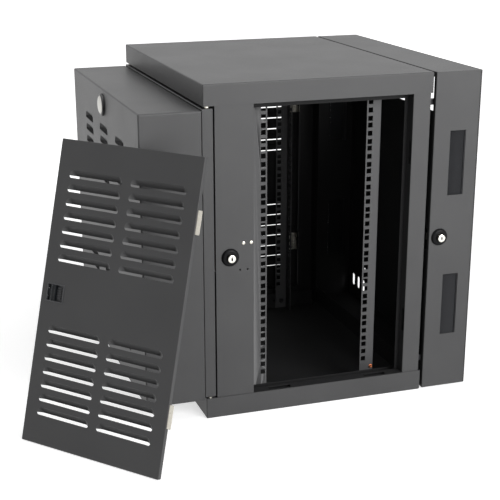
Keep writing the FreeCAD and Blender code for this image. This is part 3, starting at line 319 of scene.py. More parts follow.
def softened(node, bend=PILLAR_BEND, cut=CUT_EDGE):
    """A node's mesh with round bends, and the burr taken off the cut edges of its sheet."""
    work = welded(node)

    def slender(face):
        return face.calc_area() / (face.calc_perimeter() / 2) < 0.0023

    def corners(wide):
        return [edge for edge in work.edges
                if len(edge.link_faces) == 2 and edge.calc_face_angle_signed(0.0) > 0.6
                and wide != any(slender(face) for face in edge.link_faces)]

    if bend:
        bevelled(work, corners(True), bend, 3, True)
    if cut:
        bevelled(work, corners(False), cut, 1, True)
    return work


def kept(name, node, body, slot, finish, bend=PILLAR_BEND, cut=CUT_EDGE):
    """Fits a frame node's own shape in its place, softened and in its finish."""
    formed(name, softened(node, bend, cut), finish, body, slot, node)


for node in ("pillar_front_right", "pillar_front_left", "pillar_rear_right", "pillar_rear_left",
             "sill_right", "sill_left", "header_right", "header_left"):
    kept(f"{node}_folded", node, "main_body", "black_coat", coat)


# ---- 19 inch rails and their tracks
# Four angles of 2 mm steel with square holes for cage nuts, coated a little greyer than the
# cabinet, on tracks along the floor and the ceiling. Hex-socket bolts and hex nuts hold them.
rail_coat = powder_coat("rail_powder_coat", (0.038, 0.038, 0.039), (0.064, 0.064, 0.066), 0.42, 1300.0)
for node in ("rail_front_right", "rail_front_left", "rail_rear_right", "rail_rear_left"):
    kept(f"{node}_punched", node, "main_body", "rail_coat", rail_coat)
for node in ("rail_tracks_lower", "rail_tracks_upper"):
    kept(f"{node}_folded", node, "main_body", "black_coat", coat)


def plating(name, dark, light, roughness):
    """Plated steel: a bright metal with faint mottling and fine scratches."""
    plate = Finish(name, Metallic=1.0)
    mottle = plate.noise(260.0, 3.0, 0.6)
    scratches = plate.noise(900.0, 2.0, 0.7, (1.0, 1.0, 0.12))
    plate.feed("Base Color", plate.blend(mottle, dark, light))
    plate.feed("Roughness", roughness + (mottle - 0.5) * 0.16 + (scratches - 0.5) * 0.10)
    plate.bump(scratches, 0.15, 0.00005)
    return plate.material


zinc = plating("zinc_plating", (0.46, 0.44, 0.38), (0.68, 0.65, 0.58), 0.30)
black_zinc = plating("black_zinc_plating", (0.020, 0.020, 0.022), (0.055, 0.055, 0.058), 0.42)


def plain_word(label):
    return label.replace(" ", "_").lower()


def tree_inputs(name, *sizes):
    """A new tree and its inputs by name: whole numbers where the default is one, else lengths."""
    tree = bpy.data.node_groups.new(name, "GeometryNodeTree")
    tree.interface.new_socket("Places", in_out="INPUT", socket_type="NodeSocketGeometry")
    for label, default in sizes:
        kind = "NodeSocketInt" if isinstance(default, int) else "NodeSocketFloat"
        tree.interface.new_socket(label, in_out="INPUT", socket_type=kind).default_value = default
    tree.interface.new_socket("Geometry", in_out="OUTPUT", socket_type="NodeSocketGeometry")
    net = Net(tree)
    entry = tree.nodes.new("NodeGroupInput")
    return net, SimpleNamespace(**{plain_word(socket.name): Value(net, socket)
                                   for socket in entry.outputs if socket.name})


def tree_ends(net, shape, finish):
    """Makes the tree's instances real, gives them their material and hands them out."""
    real = net.node("GeometryNodeRealizeInstances", {0: shape})
    dressed = net.node("GeometryNodeSetMaterial", {"Geometry": real, "Material": finish})
    last = net.tree.nodes.new("NodeGroupOutput")
    net.tree.links.new(dressed.socket, last.inputs[0])
    return net.tree


def grown(tree, name, places=None, **sizes):
    """Runs a tree once over points that face a way, and gives back a plain mesh."""
    seed = bpy.data.meshes.new(name)
    if places:
        seed.from_pydata([place for place, facing in places], [], [])
        facing = seed.attributes.new("facing", "FLOAT_VECTOR", "POINT")
        for value, (place, way) in zip(facing.data, places):
            value.vector = way
    carrier = in_scene(name, seed)
    growth = carrier.modifiers.new("growth", "NODES")
    growth.node_group = tree
    for item in tree.interface.items_tree:
        if item.in_out == "INPUT" and plain_word(item.name) in sizes:
            growth[item.identifier] = sizes[plain_word(item.name)]
    return plain(carrier, name)


def fastener_tree(name, finish):
    """Screws, bolts, nuts or rivets, one on each point: a crowned head with a recess, and a shank."""
    net, size = tree_inputs(name, ("Sides", 6), ("Radius", 0.005), ("Height", 0.003), ("Crown", 0.8),
                            ("Recess Sides", 6), ("Recess", 0.0015), ("Recess Depth", 0.001),
                            ("Shank Radius", 0.003), ("Shank Length", 0.010))

    def bar(sides, radius, depth, rise):
        """A bar along Z, with its middle at a rise."""
        made = net.node("GeometryNodeMeshCylinder", {"Vertices": sides, "Radius": radius, "Depth": depth},
                        fill_type="NGON")
        return net.moved(made, Z=rise)

    lower = bar(size.sides, size.radius, size.height * 0.6, size.height * 0.3)
    crown = net.node("GeometryNodeMeshCone", {
        "Vertices": size.sides, "Radius Top": size.radius * size.crown,
        "Radius Bottom": size.radius, "Depth": size.height * 0.4}, fill_type="NGON")
    crown = net.moved(crown, Z=size.height * 0.6)
    recess = bar(size.recess_sides, size.recess, size.recess_depth * 2.0, size.height)
    head = net.node("GeometryNodeMeshBoolean", {0: net.joined(lower, crown), 1: recess},
                    operation="DIFFERENCE")
    shank = bar(12, size.shank_radius, size.shank_length, size.shank_length * -0.5)
    way = net.node("GeometryNodeInputNamedAttribute", {"Name": "facing"}, data_type="FLOAT_VECTOR")
    turned = net.node("FunctionNodeAlignRotationToVector", {"Vector": way}, axis="Z")
    set_out = net.node("GeometryNodeInstanceOnPoints", {
        "Points": size.places, "Instance": net.joined(head, shank), "Rotation": turned})
    return tree_ends(net, set_out, finish)


def set_in(tree, name, spots, body, *nodes, **sizes):
    """Fits one fastener on each spot."""
    fitted(name, grown(tree, name, spots, **sizes), body, "zinc_plate", *nodes)


fasteners = fastener_tree("zinc_fasteners", zinc)
dark_fasteners = fastener_tree("black_zinc_fasteners", black_zinc)
RAIL_STEEL = 0.002
BOLT_RISE = 0.020        # above the pan's underside, below the cap's top
front_low, front_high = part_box("rail_front_right")
rear_low, rear_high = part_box("rail_rear_right")
bolt_spots = [(side * front_high.x, (low.y + high.y) / 2, z, side)
              for low, high in ((front_low, front_high), (rear_low, rear_high))
              for z in (pan_low.z + BOLT_RISE, cap_high.z - BOLT_RISE) for side in (1, -1)]
heads = [((x - side * RAIL_STEEL, y, z), (-side, 0, 0)) for x, y, z, side in bolt_spots]
nuts = [((x + side * RAIL_STEEL, y, z), (side, 0, 0)) for x, y, z, side in bolt_spots]
set_in(dark_fasteners, "rail_bolts_set", heads, "main_body", "rail_bolts", sides=20, radius=0.0055,
       height=0.0035, crown=0.7, recess=0.0022, recess_depth=0.0018, shank_length=0.012)
set_in(dark_fasteners, "rail_nuts_set", nuts, "main_body", "rail_nuts", sides=6, radius=0.0057,
       height=0.005, crown=0.88, recess_sides=16, recess=0.0030, recess_depth=0.0008, shank_length=0.001)


# ---- louvred side panels
# Folded 1.2 mm sheets with 28 louvres each, pressed inwards, and an 8 mm flange all round. Coated
# like the cabinet. The left one hangs; the right one is off and leans on the door's corner.
def louvred_tree(name, finish):
    """A flat sheet facing +Z with two groups of louvres; each is a hole under a pressed-in hood."""
    net, size = tree_inputs(name, ("Width", 0.3), ("Tall", 0.55), ("Corner", 0.002), ("Columns", 2),
                            ("Column Pitch", 0.14), ("Rows", 7), ("Row Pitch", 0.0254),
                            ("Group Spacing", 0.28), ("Length", 0.1), ("Height", 0.0165),
                            ("Gap", 0.004), ("Press", 0.008), ("Edge Steps", 25),
                            ("Window X", 0.0), ("Window Width", 0.0), ("Window Tall", 0.0))
    grid = net.node("GeometryNodeMeshGrid", {"Size X": 1.0, "Size Y": 1.0, "Vertices X": size.edge_steps,
                                             "Vertices Y": 7})
    place = net.node("GeometryNodeInputPosition")
    across, down = (net.node("ShaderNodeSeparateXYZ", {0: place}, output=k) for k in (0, 1))
    turn = (across + 0.5) * pi
    fall = down + 0.5
    rise = size.height - size.gap

    def ends(angle, radius, straight):
        """Place along the louvre on its rounded ends, which the straight middle parts."""
        cosine = angle.worked("COSINE")
        return (cosine > 1e-4) * straight - (cosine < -1e-4) * straight + cosine * radius

    arch = turn.worked("SINE")
    hood = net.node("GeometryNodeSetPosition", {"Geometry": grid, "Position": net.vector(
        X=ends(turn, rise * (1.0 - fall), size.length * 0.5 - rise),
        Y=size.gap + arch * rise * (1.0 - fall) - size.height * 0.5,
        Z=((1.0 - fall) ** 1.4 - 1.0) * size.press)})
    ring = net.node("GeometryNodeMeshCircle", {"Vertices": (size.edge_steps - 1.0) * 2.0, "Radius": 1.0})
    step = net.node("GeometryNodeInputIndex") * pi / (size.edge_steps - 1.0)
    arch = step.worked("SINE")
    corner = size.gap + (arch > -1e-5) * (rise - size.gap)
    outline = net.node("GeometryNodeSetPosition", {"Geometry": ring, "Position": net.vector(
        X=ends(step, corner, size.length * 0.5 - corner),
        Y=size.gap + arch * corner - size.height * 0.5)})
    outline = net.node("GeometryNodeMeshToCurve", {0: outline})
    group = net.node("GeometryNodeMeshGrid", {
        "Size X": (size.columns - 1.0) * size.column_pitch,
        "Size Y": (size.rows - 1.0) * size.row_pitch,
        "Vertices X": size.columns, "Vertices Y": size.rows})
    spots = net.joined(*[net.moved(group, Y=size.group_spacing * side) for side in (-0.5, 0.5)])

    def spread(shape):
        """A shape at every louvre's middle."""
        return net.node("GeometryNodeRealizeInstances", {0: net.node(
            "GeometryNodeInstanceOnPoints", {"Points": spots, "Instance": shape})})

    rim = net.node("GeometryNodeCurvePrimitiveQuadrilateral",
                   {"Width": size.width, "Height": size.tall})
    rim = net.node("GeometryNodeFilletCurve", {"Curve": rim, "Radius": size.corner, "Count": 4},
                   mode="POLY")
    window = net.node("GeometryNodeCurvePrimitiveQuadrilateral",
                      {"Width": size.window_width, "Height": size.window_tall})
    window = net.moved(window, X=size.window_x)
    sheet = net.node("GeometryNodeFillCurve", {"Curve": net.joined(rim, window, spread(outline))})
    whole = net.node("GeometryNodeMergeByDistance", {
        "Geometry": net.joined(sheet, spread(hood)), "Distance": 1e-4})
    return tree_ends(net, whole, finish)


def folded_back(work, width, tall, corner, bend, depth, thickness, lip=0.0):
    """Folds a flange back from a sheet's rim, and a lip inwards from that, then thickens the steel."""
    reach = Vector((width / 2, tall / 2, 0.0))
    straight = reach - Vector((corner, corner, 0.0))

    def on_rim(place):
        return abs(abs(place.x) - reach.x) < 1e-4 or abs(abs(place.y) - reach.y) < 1e-4 or (
            abs(place.x) > straight.x and abs(place.y) > straight.y)

    loop = [edge for edge in work.edges
            if edge.is_boundary and all(on_rim(end.co) and abs(end.co.z) < 1e-6 for end in edge.verts)]
    stations = [(bend * sin(step * pi / 8), bend * (1 - cos(step * pi / 8)))
                for step in range(1, 5)] + [(bend, depth - bend if lip else depth)]

    def pulled(edges):
        """A new row of faces on a loop of edges: the loop's new edges and corners."""
        made = bmesh.ops.extrude_edge_only(work, edges=edges)["geom"]
        return ([item for item in made if isinstance(item, bmesh.types.BMEdge)],
                [item for item in made if isinstance(item, bmesh.types.BMVert)])

    def inside(value, limit):
        return max(-limit, min(limit, value))

    out, back = 0.0, 0.0
    for next_out, next_back in stations:
        loop, corners = pulled(loop)
        for vert in corners:
            away = Vector((vert.co.x - inside(vert.co.x, straight.x),
                           vert.co.y - inside(vert.co.y, straight.y), 0.0))
            vert.co += away.normalized() * (next_out - out) - Vector((0, 0, next_back - back))
        out, back = next_out, next_back
    if lip:
        edge = reach + Vector((bend, bend, 0.0))
        for inset, level in ((bend * 0.3, depth - bend * 0.3), (bend, depth), (lip, depth)):
            loop, corners = pulled(loop)
            for vert in corners:
                vert.co = (inside(vert.co.x, edge.x - inset), inside(vert.co.y, edge.y - inset), -level)
    merged(work, 1e-5)
    if sum(face.normal.z * face.calc_area() for face in work.faces) < 0:
        bmesh.ops.reverse_faces(work, faces=work.faces)
    bmesh.ops.solidify(work, geom=work.faces, thickness=thickness)
    return work


def placed_at(work, origin, across, up):
    """Moves mesh work so that its +X runs across, its +Y up, and it faces where they point."""
    facing = across.cross(up)
    turn = Matrix((across, up, facing)).transposed().to_4x4()
    bmesh.ops.transform(work, verts=work.verts, matrix=Matrix.Translation(origin) @ turn)
    return work


def cut_out(work, low, high):
    """Cuts a box out of a piece's mesh work."""
    block = bmesh.new()
    box_into(block, low, high)
    things = []
    for name, shape in (("piece", work), ("block", block)):
        mesh = bpy.data.meshes.new(name)
        shape.to_mesh(mesh)
        shape.free()
        things.append(in_scene(name, mesh))
    cut = things[0].modifiers.new("cut", "BOOLEAN")
    cut.object = things[1]
    cut.solver = "EXACT"
    left = plain(things[0], "left")
    made = bmesh.new()
    made.from_mesh(left)
    bpy.data.meshes.remove(left)
    plain(things[1], "block")
    return made


louvred = louvred_tree("louvred_sheet", coat)
LOUVRE = {"rows": 7, "row_pitch": 0.0254, "height": 0.0150, "gap": 0.004, "press": 0.008, "edge_steps": 25}
PANEL_WIDTH = 0.310
PANEL_TALL = 0.5583
PANEL_FOLD = 0.0012
PANEL_STEEL = 0.0012
PANEL_FLANGE = 0.008
CORNER = 0.0006
LATCH_MIDDLE = 0.032     # from the panel's latch edge
BOLT_SLOT_TALL = 0.0147
BOLT_SLOT_WIDE = 0.0047
BOLT_DEPTH = 0.0035      # middle of the bolt behind the panel's face


def panel_work(name):
    """A panel in its own frame: latch edge at x = 0, foot at y = 0, outer face at z = 0."""
    wide, tall = PANEL_WIDTH - 2 * PANEL_FOLD, PANEL_TALL - 2 * PANEL_FOLD
    work = bmesh.new()
    work.from_mesh(grown(louvred, name, width=wide, tall=tall, corner=CORNER, columns=2, column_pitch=0.137,
                         group_spacing=0.284, length=0.1185, window_x=LATCH_MIDDLE - PANEL_WIDTH / 2,
                         window_width=0.038, window_tall=0.032, **LOUVRE))
    folded_back(work, wide, tall, CORNER, PANEL_FOLD, PANEL_FLANGE, PANEL_STEEL)
    bmesh.ops.translate(work, verts=work.verts, vec=(PANEL_WIDTH / 2, PANEL_TALL / 2, 0))
    slot = Vector((0.0, BOLT_SLOT_TALL / 2, BOLT_SLOT_WIDE / 2))
    middle = Vector((0.0, PANEL_TALL / 2, -BOLT_DEPTH))
    return cut_out(work, middle - slot - Vector((0.001, 0, 0)), middle + slot + Vector((0.003, 0, 0)))


yaw, tilt = radians(40.0), radians(16.7)
lean_along = Vector((cos(yaw), sin(yaw), 0.0))
lean_out = Vector((sin(yaw) * cos(tilt), -cos(yaw) * cos(tilt), sin(tilt)))
lean_up = lean_out.cross(lean_along)
shell_low, shell_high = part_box("door_shell")
DOOR_BEND = 0.003
LEAN_CONTACT = 0.165     # along the panel's top edge, where it meets the door's corner
LEAN_GAP = 0.0003
lean_touch = (Vector((shell_high.x - DOOR_BEND, shell_low.y + DOOR_BEND, 0))
              + Vector((sin(yaw), -cos(yaw), 0)) * DOOR_BEND)
lean_foot = (lean_touch - lean_along * LEAN_CONTACT - lean_up * PANEL_TALL
             + lean_out * (PANEL_FLANGE + LEAN_GAP))
lean_foot.z = PANEL_FLANGE * sin(tilt) + pan_low.z
right = placed_at(panel_work("right_panel"), lean_foot, lean_along, lean_up)
formed("right_panel_louvred", right, coat, "right_side_panel", "black_coat", "right_panel")

left_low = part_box("left_panel")[0]
left = panel_work("left_panel")
bmesh.ops.scale(left, verts=left.verts, vec=(-1.0, 1.0, 1.0))
bmesh.ops.reverse_faces(left, faces=left.faces)
placed_at(left, left_low, Vector((0, -1, 0)), Vector((0, 0, 1)))
formed("left_panel_louvred", left, coat, "left_side_panel", "black_coat", "left_panel")


# ---- panel latches, hooks and keepers
# Matt black mouldings clipped in the panels' windows: a shallow ribbed cup with a thumb slider and
# its bolt. The zinc-plated hooks are spot-welded inside, the keepers riveted in the front pillars.
moulding = mottled("black_moulding", (2400.0, 2.0, 0.6), (0.020, 0.021, 0.023), (0.045, 0.046, 0.050),
                   0.40, 0.12, (0.30, 0.00005))
# The thumb slider is a black moulding, painted darker than the cup as painted shade for the deep slot beside
# it.
thumb = mottled("black_thumb", (300.0, 2.0, 0.6), (0.004, 0.005, 0.006), (0.012, 0.014, 0.016),
                0.33, 0.14, Specular_IOR_Level=0.2)
RIB_PITCH = 0.0046
RIB = Vector((0.009, 0.0022, 0.0024))
RIB_START = Vector((LATCH_MIDDLE + 0.001, PANEL_TALL / 2 - RIB.y / 2, -0.0062))
for side, body in (("right", "right_side_panel"), ("left", "left_side_panel")):
    work = softened(f"{side}_latch_housing", 0.0004, 0)
    for rib in range(-2, 3):
        place = RIB_START + Vector((0.0, rib * RIB_PITCH, 0.0))
        ends = box_into(work, place, place + RIB)
        if side == "right":
            turn = Matrix((lean_along, lean_up, lean_out)).transposed().to_4x4()
            bmesh.ops.transform(work, verts=ends, matrix=Matrix.Translation(lean_foot) @ turn)
        else:
            for end in ends:
                end.co = Vector((left_low.x - end.co.z, left_low.y + end.co.x, left_low.z + end.co.y))
            bmesh.ops.recalc_face_normals(work, faces=list({f for e in ends for f in e.link_faces}))
    formed(f"{side}_latch_cup", work, moulding, body, "black_plastic", f"{side}_latch_housing")
    kept(f"{side}_latch_thumb", f"{side}_latch_slider", f"{side}_panel_latch", "black_plastic",
         thumb, 0.0003, 0)
    kept(f"{side}_panel_hooks_plated", f"{side}_panel_hooks", body, "zinc_plate", zinc, 0.0006, 0.0002)
kept("latch_keepers_plated", "latch_keepers", "main_body", "zinc_plate", black_zinc, 0.0008, 0.0002)
keeper_low, keeper_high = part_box("latch_keepers")
pillar_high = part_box("pillar_front_right")[1]
RIVET_RISE = 0.0255      # above the keeper's middle
RIVET_EDGE = 0.0119      # from the pillar's edge
RIVET_PITCH = 0.015
rivets = [((side * pillar_high.x, pillar_high.y - RIVET_EDGE - step * RIVET_PITCH,
            (keeper_low.z + keeper_high.z) / 2 + RIVET_RISE), (side, 0, 0))
          for side in (1, -1) for step in (0, 1)]
set_in(fasteners, "keeper_rivets", rivets, "main_body", sides=20, radius=0.0030, height=0.0014, crown=0.55,
       recess_sides=12, recess=0.0009, recess_depth=0.0006, shank_radius=0.0016, shank_length=0.004)


# ---- front door
# A deep shell of 1.5 mm steel with 30 pressed louvres and rounded front edges, welded to a folded
# ring that turns on two pins in plated bushes. A plain round badge sits near the top.
DOOR_CORNER = 0.0008
shell_size = shell_high - shell_low
front_wide, front_tall = shell_size.x - 2 * DOOR_BEND, shell_size.z - 2 * DOOR_BEND
work = bmesh.new()
work.from_mesh(grown(louvred, "door_shell", width=front_wide, tall=front_tall, corner=DOOR_CORNER, columns=3,
                     column_pitch=0.142, group_spacing=0.2969, length=0.074, window_x=0.0,
                     window_width=0.0, window_tall=0.0, **{**LOUVRE, "rows": 5}))
folded_back(work, front_wide, front_tall, DOOR_CORNER, DOOR_BEND, shell_size.y, STEEL, lip=0.016)
placed_at(work, Vector((0, shell_low.y, (shell_low.z + shell_high.z) / 2)), Vector((1, 0, 0)),
          Vector((0, 0, 1)))
formed("door_shell_louvred", work, coat, "front_door", "black_coat", "door_shell")
kept("door_ring", "door_frame", "front_door", "black_coat", coat)
kept("door_strike_plated", "door_strike", "front_door", "zinc_plate", zinc, 0.0008, 0.0002)
frame_low, frame_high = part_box("door_frame")
SCREW_INSET = 0.009
SCREW_PITCH = 0.2386
middle = (frame_low.z + frame_high.z) / 2
inner_face = shell_high.y - STEEL
screws = [((side * (shell_high.x - SCREW_INSET), inner_face, middle + row * SCREW_PITCH), (0, -1, 0))
          for side in (1, -1) for row in (-1, 0, 1)]
screws += [((0, inner_face, z), (0, -1, 0)) for z in (shell_low.z + 0.01175, shell_high.z - 0.0075)]
set_in(fasteners, "door_screws", screws, "front_door", sides=24, radius=0.00375, height=0.0022, crown=0.6,
       recess_sides=6, recess=0.0013, recess_depth=0.0012, shank_radius=0.0019, shank_length=0.005)


def lathed(work, start, along, outline, steps=48):
    """Adds a turned piece: its outline is (reach along the axis, radius) from one end to the other."""
    along = Vector(along).normalized()
    side = along.orthogonal().normalized()
    other = along.cross(side)
    rings = []
    for reach, radius in outline:
        centre = Vector(start) + along * reach
        rings.append([work.verts.new(centre + radius * (side * cos(2 * pi * k / steps)
                                                        + other * sin(2 * pi * k / steps)))
                      for k in range(steps if radius else 1)])
    made = []
    for first, second in zip(rings, rings[1:]):
        for k in range(steps):
            corners = [first[k % len(first)], first[(k + 1) % steps % len(first)],
                       second[(k + 1) % steps % len(second)], second[k % len(second)]]
            made.append(work.faces.new(list(dict.fromkeys(corners))))
    bmesh.ops.recalc_face_normals(work, faces=made)
    return work


badge_low, badge_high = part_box("door_badge")
BADGE_TRIM = 0.003       # the badge is this much smaller and lower than its room
BADGE_RIM = ((0.0, 1.0), (0.40, 1.0), (0.52, 0.97), (0.60, 0.92), (0.60, 0.87), (0.54, 0.85), (0.54, 0.83))
badge_middle = Vector((0, badge_high.y, (badge_low.z + badge_high.z) / 2 - BADGE_TRIM))
badge_out = badge_high.y - badge_low.y
badge_reach = (badge_high.z - badge_low.z) / 2 - BADGE_TRIM
satin = Finish("satin_silver")
off_axis = satin.node("ShaderNodeVectorMath", {0: satin.place, 1: tuple(badge_middle)}, operation="SUBTRACT")
off_axis = satin.node("ShaderNodeVectorMath", {0: off_axis, 1: (1.0, 0.0, 1.0)}, operation="MULTIPLY")
reach = satin.node("ShaderNodeVectorMath", {0: off_axis}, output="Value", operation="LENGTH")
spun = satin.node("ShaderNodeTexNoise", {"W": reach * 5200.0, "Detail": 2.0}, noise_dimensions="1D")
rim = satin.node("ShaderNodeMapRange", {0: reach, 1: badge_reach * 0.80, 2: badge_reach * 0.83})
face = satin.blend(spun, (0.36, 0.355, 0.33), (0.60, 0.59, 0.56))
satin.feed("Base Color", satin.node("ShaderNodeMix", {0: rim, 6: face, 7: (0.03, 0.03, 0.032, 1.0)},
                                    output=2, data_type="RGBA"))
satin.feed("Metallic", 1.0 - rim)
satin.feed("Roughness", 0.34 + (spun - 0.5) * 0.16)
work = bmesh.new()
dome = [(0.54 + 0.46 * sin(pi / 16 * k), 0.80 * cos(pi / 16 * k)) for k in range(8)]
lathed(work, badge_middle, (0, -1, 0),
       [(0, 0)] + [(badge_out * out, badge_reach * wide) for out, wide in BADGE_RIM + tuple(dome)]
       + [(badge_out, 0)], 64)
formed("door_badge_blank", work, satin.material, "front_door", "badge_silver", "door_badge")

pin_low, pin_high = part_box("pivot_pins")
pivot_x = shell_high.x - 0.0045
pivot_y = (pin_low.y + pin_high.y) / 2
PIVOT_PIN = 0.0024
BUSH_BORE = 0.0025
BUSH_SLEEVE = 0.0036
BUSH_HEAD = 0.0042
INTO_SHEET = 0.0035      # bushes and pins reach this far past the seat
work = bmesh.new()
pins = bmesh.new()
for seat, up, reach, over in ((pan_high.z, 1, 0.0022, 0.0025), (cap_low.z, -1, 0.0035, 0.0045)):
    for x in (-pivot_x, pivot_x):
        lathed(work, (x, pivot_y, seat + up * reach), (0, 0, -up),
               [(0, BUSH_BORE), (0, BUSH_HEAD - 0.0004), (0.0004, BUSH_HEAD), (reach, BUSH_HEAD),
                (reach, BUSH_SLEEVE), (reach + INTO_SHEET, BUSH_SLEEVE), (reach + INTO_SHEET, BUSH_BORE),
                (0, BUSH_BORE)], 32)
    length = INTO_SHEET + 0.0070 + over
    lathed(pins, (-pivot_x, pivot_y, seat - up * INTO_SHEET), (0, 0, up),
           [(0, 0), (0, PIVOT_PIN - 0.0003), (0.0004, PIVOT_PIN), (length - 0.0008, PIVOT_PIN),
            (length, PIVOT_PIN - 0.0007), (length, 0)], 24)
merged(work, 1e-6)
formed("pivot_bushes_turned", work, zinc, "main_body", "zinc_plate", "pivot_bushes")
formed("pivot_pins_turned", pins, zinc, "main_body", "zinc_plate", "pivot_pins")


# ---- key locks
# Two cam locks on the right: a polished chrome barrel in a glossy black collar, held by a hex nut
# inside. The plug turns in the barrel with its cam; the strikes it holds are zinc-plated.
chrome = mottled("polished_chrome", (420.0, 3.0, 0.6), (0.68, 0.66, 0.60), (0.82, 0.80, 0.73),
                 0.12, 0.10, Metallic=1.0)
gloss = mottled("glossy_black", (180.0, 2.0, 0.5), (0.004, 0.004, 0.0045), (0.010, 0.010, 0.011),
                0.24, 0.10, Specular_IOR_Level=0.07)
# Near black: painted shade for the keyway, on the block where its wafers sit and on a thin cap over its
# mouth.
keyway_shade = mottled("dark_wafers", (900.0, 2.0, 0.5), (0.003, 0.003, 0.003), (0.012, 0.011, 0.010),
                0.55, 0.10, Specular_IOR_Level=0.1)
BARREL = 0.0077
PROUD = 0.012            # barrel in front of the sheet
BEHIND = 0.0115          # and behind it
PLUG = 0.0055
COLLAR = 0.017
COLLAR_RISE = 0.005
FIT = 0.0001
KEYWAY = Vector((PROUD - 0.006, 0.0009, 0.0036))
# Size of the thin near-black cap over the keyway's mouth, which is painted shade.
SHADE_CAP_WIDE, SHADE_CAP_TALL, SHADE_CAP_SIDES = 0.0017, 0.0040, 24
lock_z = pan_low.z + 0.3187
for lock, body, face_x, lock_y in (("door", "main_body", 0.2985, -0.5005),
                                   ("wall", "wall_section", 0.3000, -0.0732)):
    place = Vector((face_x, lock_y, lock_z))
    turning = f"{lock}_lock"
    long = BEHIND + PROUD
    work = bmesh.new()
    lathed(work, place - Vector((BEHIND, 0, 0)), (1, 0, 0),
           [(0, PLUG + FIT), (0, BARREL - 0.0003), (0.0003, BARREL), (long - 0.0014, BARREL),
            (long - 0.0004, BARREL - 0.0005), (long, BARREL - 0.0014), (long, PLUG + 0.0003),
            (long - 0.0003, PLUG + FIT), (0, PLUG + FIT)], 64)
    merged(work, 1e-7)
    formed(f"{turning}_barrel_turned", work, chrome, body, "chrome_plate", f"{turning}_barrel")
    work = bmesh.new()
    turns = [k * pi / 12 for k in range(1, 7)]
    arch = [(COLLAR_RISE * sin(turn), COLLAR - COLLAR_RISE * (1 - cos(turn))) for turn in turns]
    lathed(work, place, (1, 0, 0), [(0, BARREL + FIT), (0, COLLAR)] + arch + [
        (COLLAR_RISE, BARREL + 0.0009), (COLLAR_RISE - 0.0006, BARREL + FIT), (0, BARREL + FIT)], 64)
    merged(work, 1e-7)
    formed(f"{turning}_collar_domed", work, gloss, body, "gloss_black", f"{turning}_collar")
    kept(f"{turning}_nut_zinc", f"{turning}_nut", body, "zinc_plate", zinc, 0, 0.0004)
    formed(f"{turning}_plug_chromed", welded(f"{turning}_plug"), chrome, turning, "chrome_plate",
           f"{turning}_plug")
    # Painted shade: a near-black block in the keyway, where the wafers sit, and a thin near-black cap over
    # the keyway's mouth darken it as its own shade would.
    work = bmesh.new()
    box_into(work, place + Vector((KEYWAY.x, -KEYWAY.y, -KEYWAY.z)),
             place + Vector((PROUD - 0.0002, KEYWAY.y, KEYWAY.z)))
    turns = [k * tau / SHADE_CAP_SIDES for k in range(SHADE_CAP_SIDES)]
    shade_cap = [(SHADE_CAP_WIDE * cos(turn), SHADE_CAP_TALL * sin(turn)) for turn in turns]
    rims = [[work.verts.new(place + Vector((PROUD + rise, y * share, z * share))) for y, z in shade_cap]
            for rise, share in ((-0.0004, 1.0), (0.00005, 1.0), (0.00015, 0.9))]
    for low, high in zip(rims, rims[1:]):
        for k in range(SHADE_CAP_SIDES):
            last = (k + 1) % SHADE_CAP_SIDES
            work.faces.new((low[k], low[last], high[last], high[k]))
    work.faces.new(rims[-1])
    work.faces.new(rims[0][::-1])
    formed(f"{turning}_wafers", work, keyway_shade, turning, "chrome_plate")
    kept(f"{turning}_cam_plated", f"{turning}_cam", turning, "zinc_plate", zinc, 0.0004, 0)
    screw = [((face_x - 0.014, lock_y, lock_z), (-1, 0, 0))]
    set_in(fasteners, f"{turning}_screw", screw, turning, sides=24, radius=0.0055, height=0.0014, crown=0.8,
           recess_sides=4, recess=0.0018, recess_depth=0.0008, shank_radius=0.0020, shank_length=0.004)
kept("wall_strike_plated", "wall_strike", "main_body", "zinc_plate", black_zinc, 0.0008, 0.0002)


# ---- wall section
# A shallow box of the same coated steel. Its 2 mm plate is bolted to the wall by four holes; a
# cable entry is punched high in it and air slots low in it. Sides and lids are spot-welded on.
def slot_outline(centre, half_wide, half_tall, radius, steps=8):
    """Corners of a rounded rectangle; with a radius of half its width it is a slot or a circle."""
    outline = []
    for quarter, (x, z) in enumerate(((1, 1), (-1, 1), (-1, -1), (1, -1))):
        middle = (centre[0] + x * (half_wide - radius), centre[1] + z * (half_tall - radius))
        outline += [(middle[0] + radius * cos((quarter + k / steps) * pi / 2),
                     middle[1] + radius * sin((quarter + k / steps) * pi / 2))
                    for k in range(steps + 1)]
    return outline


plate_wide, plate_tall = (plate_high.x - plate_low.x) / 2, (plate_high.z - plate_low.z) / 2
plate_middle = (plate_low.z + plate_high.z) / 2
WALL_HOLE = 0.00475
HOLE_APART, HOLE_RISE = 0.4064, 0.4572
ENTRY_DROP, ENTRY_WIDTH, ENTRY_TALL, ENTRY_BEVEL = 0.075, 0.260, 0.070, 0.006
VENT_RISE, VENT_WIDTH, VENT_TALL = 0.0485, 0.014, 0.030
VENT_MARGIN, VENT_PITCH = 0.0318, 0.0298
outlines = [slot_outline((0, plate_middle), plate_wide, plate_tall, 0.0004, 2),
            slot_outline((0, plate_high.z - ENTRY_DROP), ENTRY_WIDTH / 2, ENTRY_TALL / 2, ENTRY_BEVEL)]
outlines += [slot_outline((x * HOLE_APART / 2, z * HOLE_RISE / 2), WALL_HOLE, WALL_HOLE, WALL_HOLE)
             for x in (-1, 1) for z in (-1, 1)]
outlines += [slot_outline((side * (plate_wide - VENT_MARGIN - k * VENT_PITCH), pan_low.z + VENT_RISE),
                          VENT_WIDTH / 2, VENT_TALL / 2, VENT_WIDTH / 2)
             for side in (-1, 1) for k in range(4)]
work = bmesh.new()
for outline in outlines:
    corners = [work.verts.new((x, plate_low.y, z)) for x, z in outline]
    for first, second in zip(corners, corners[1:] + corners[:1]):
        work.edges.new((first, second))
merged(work, 1e-6)
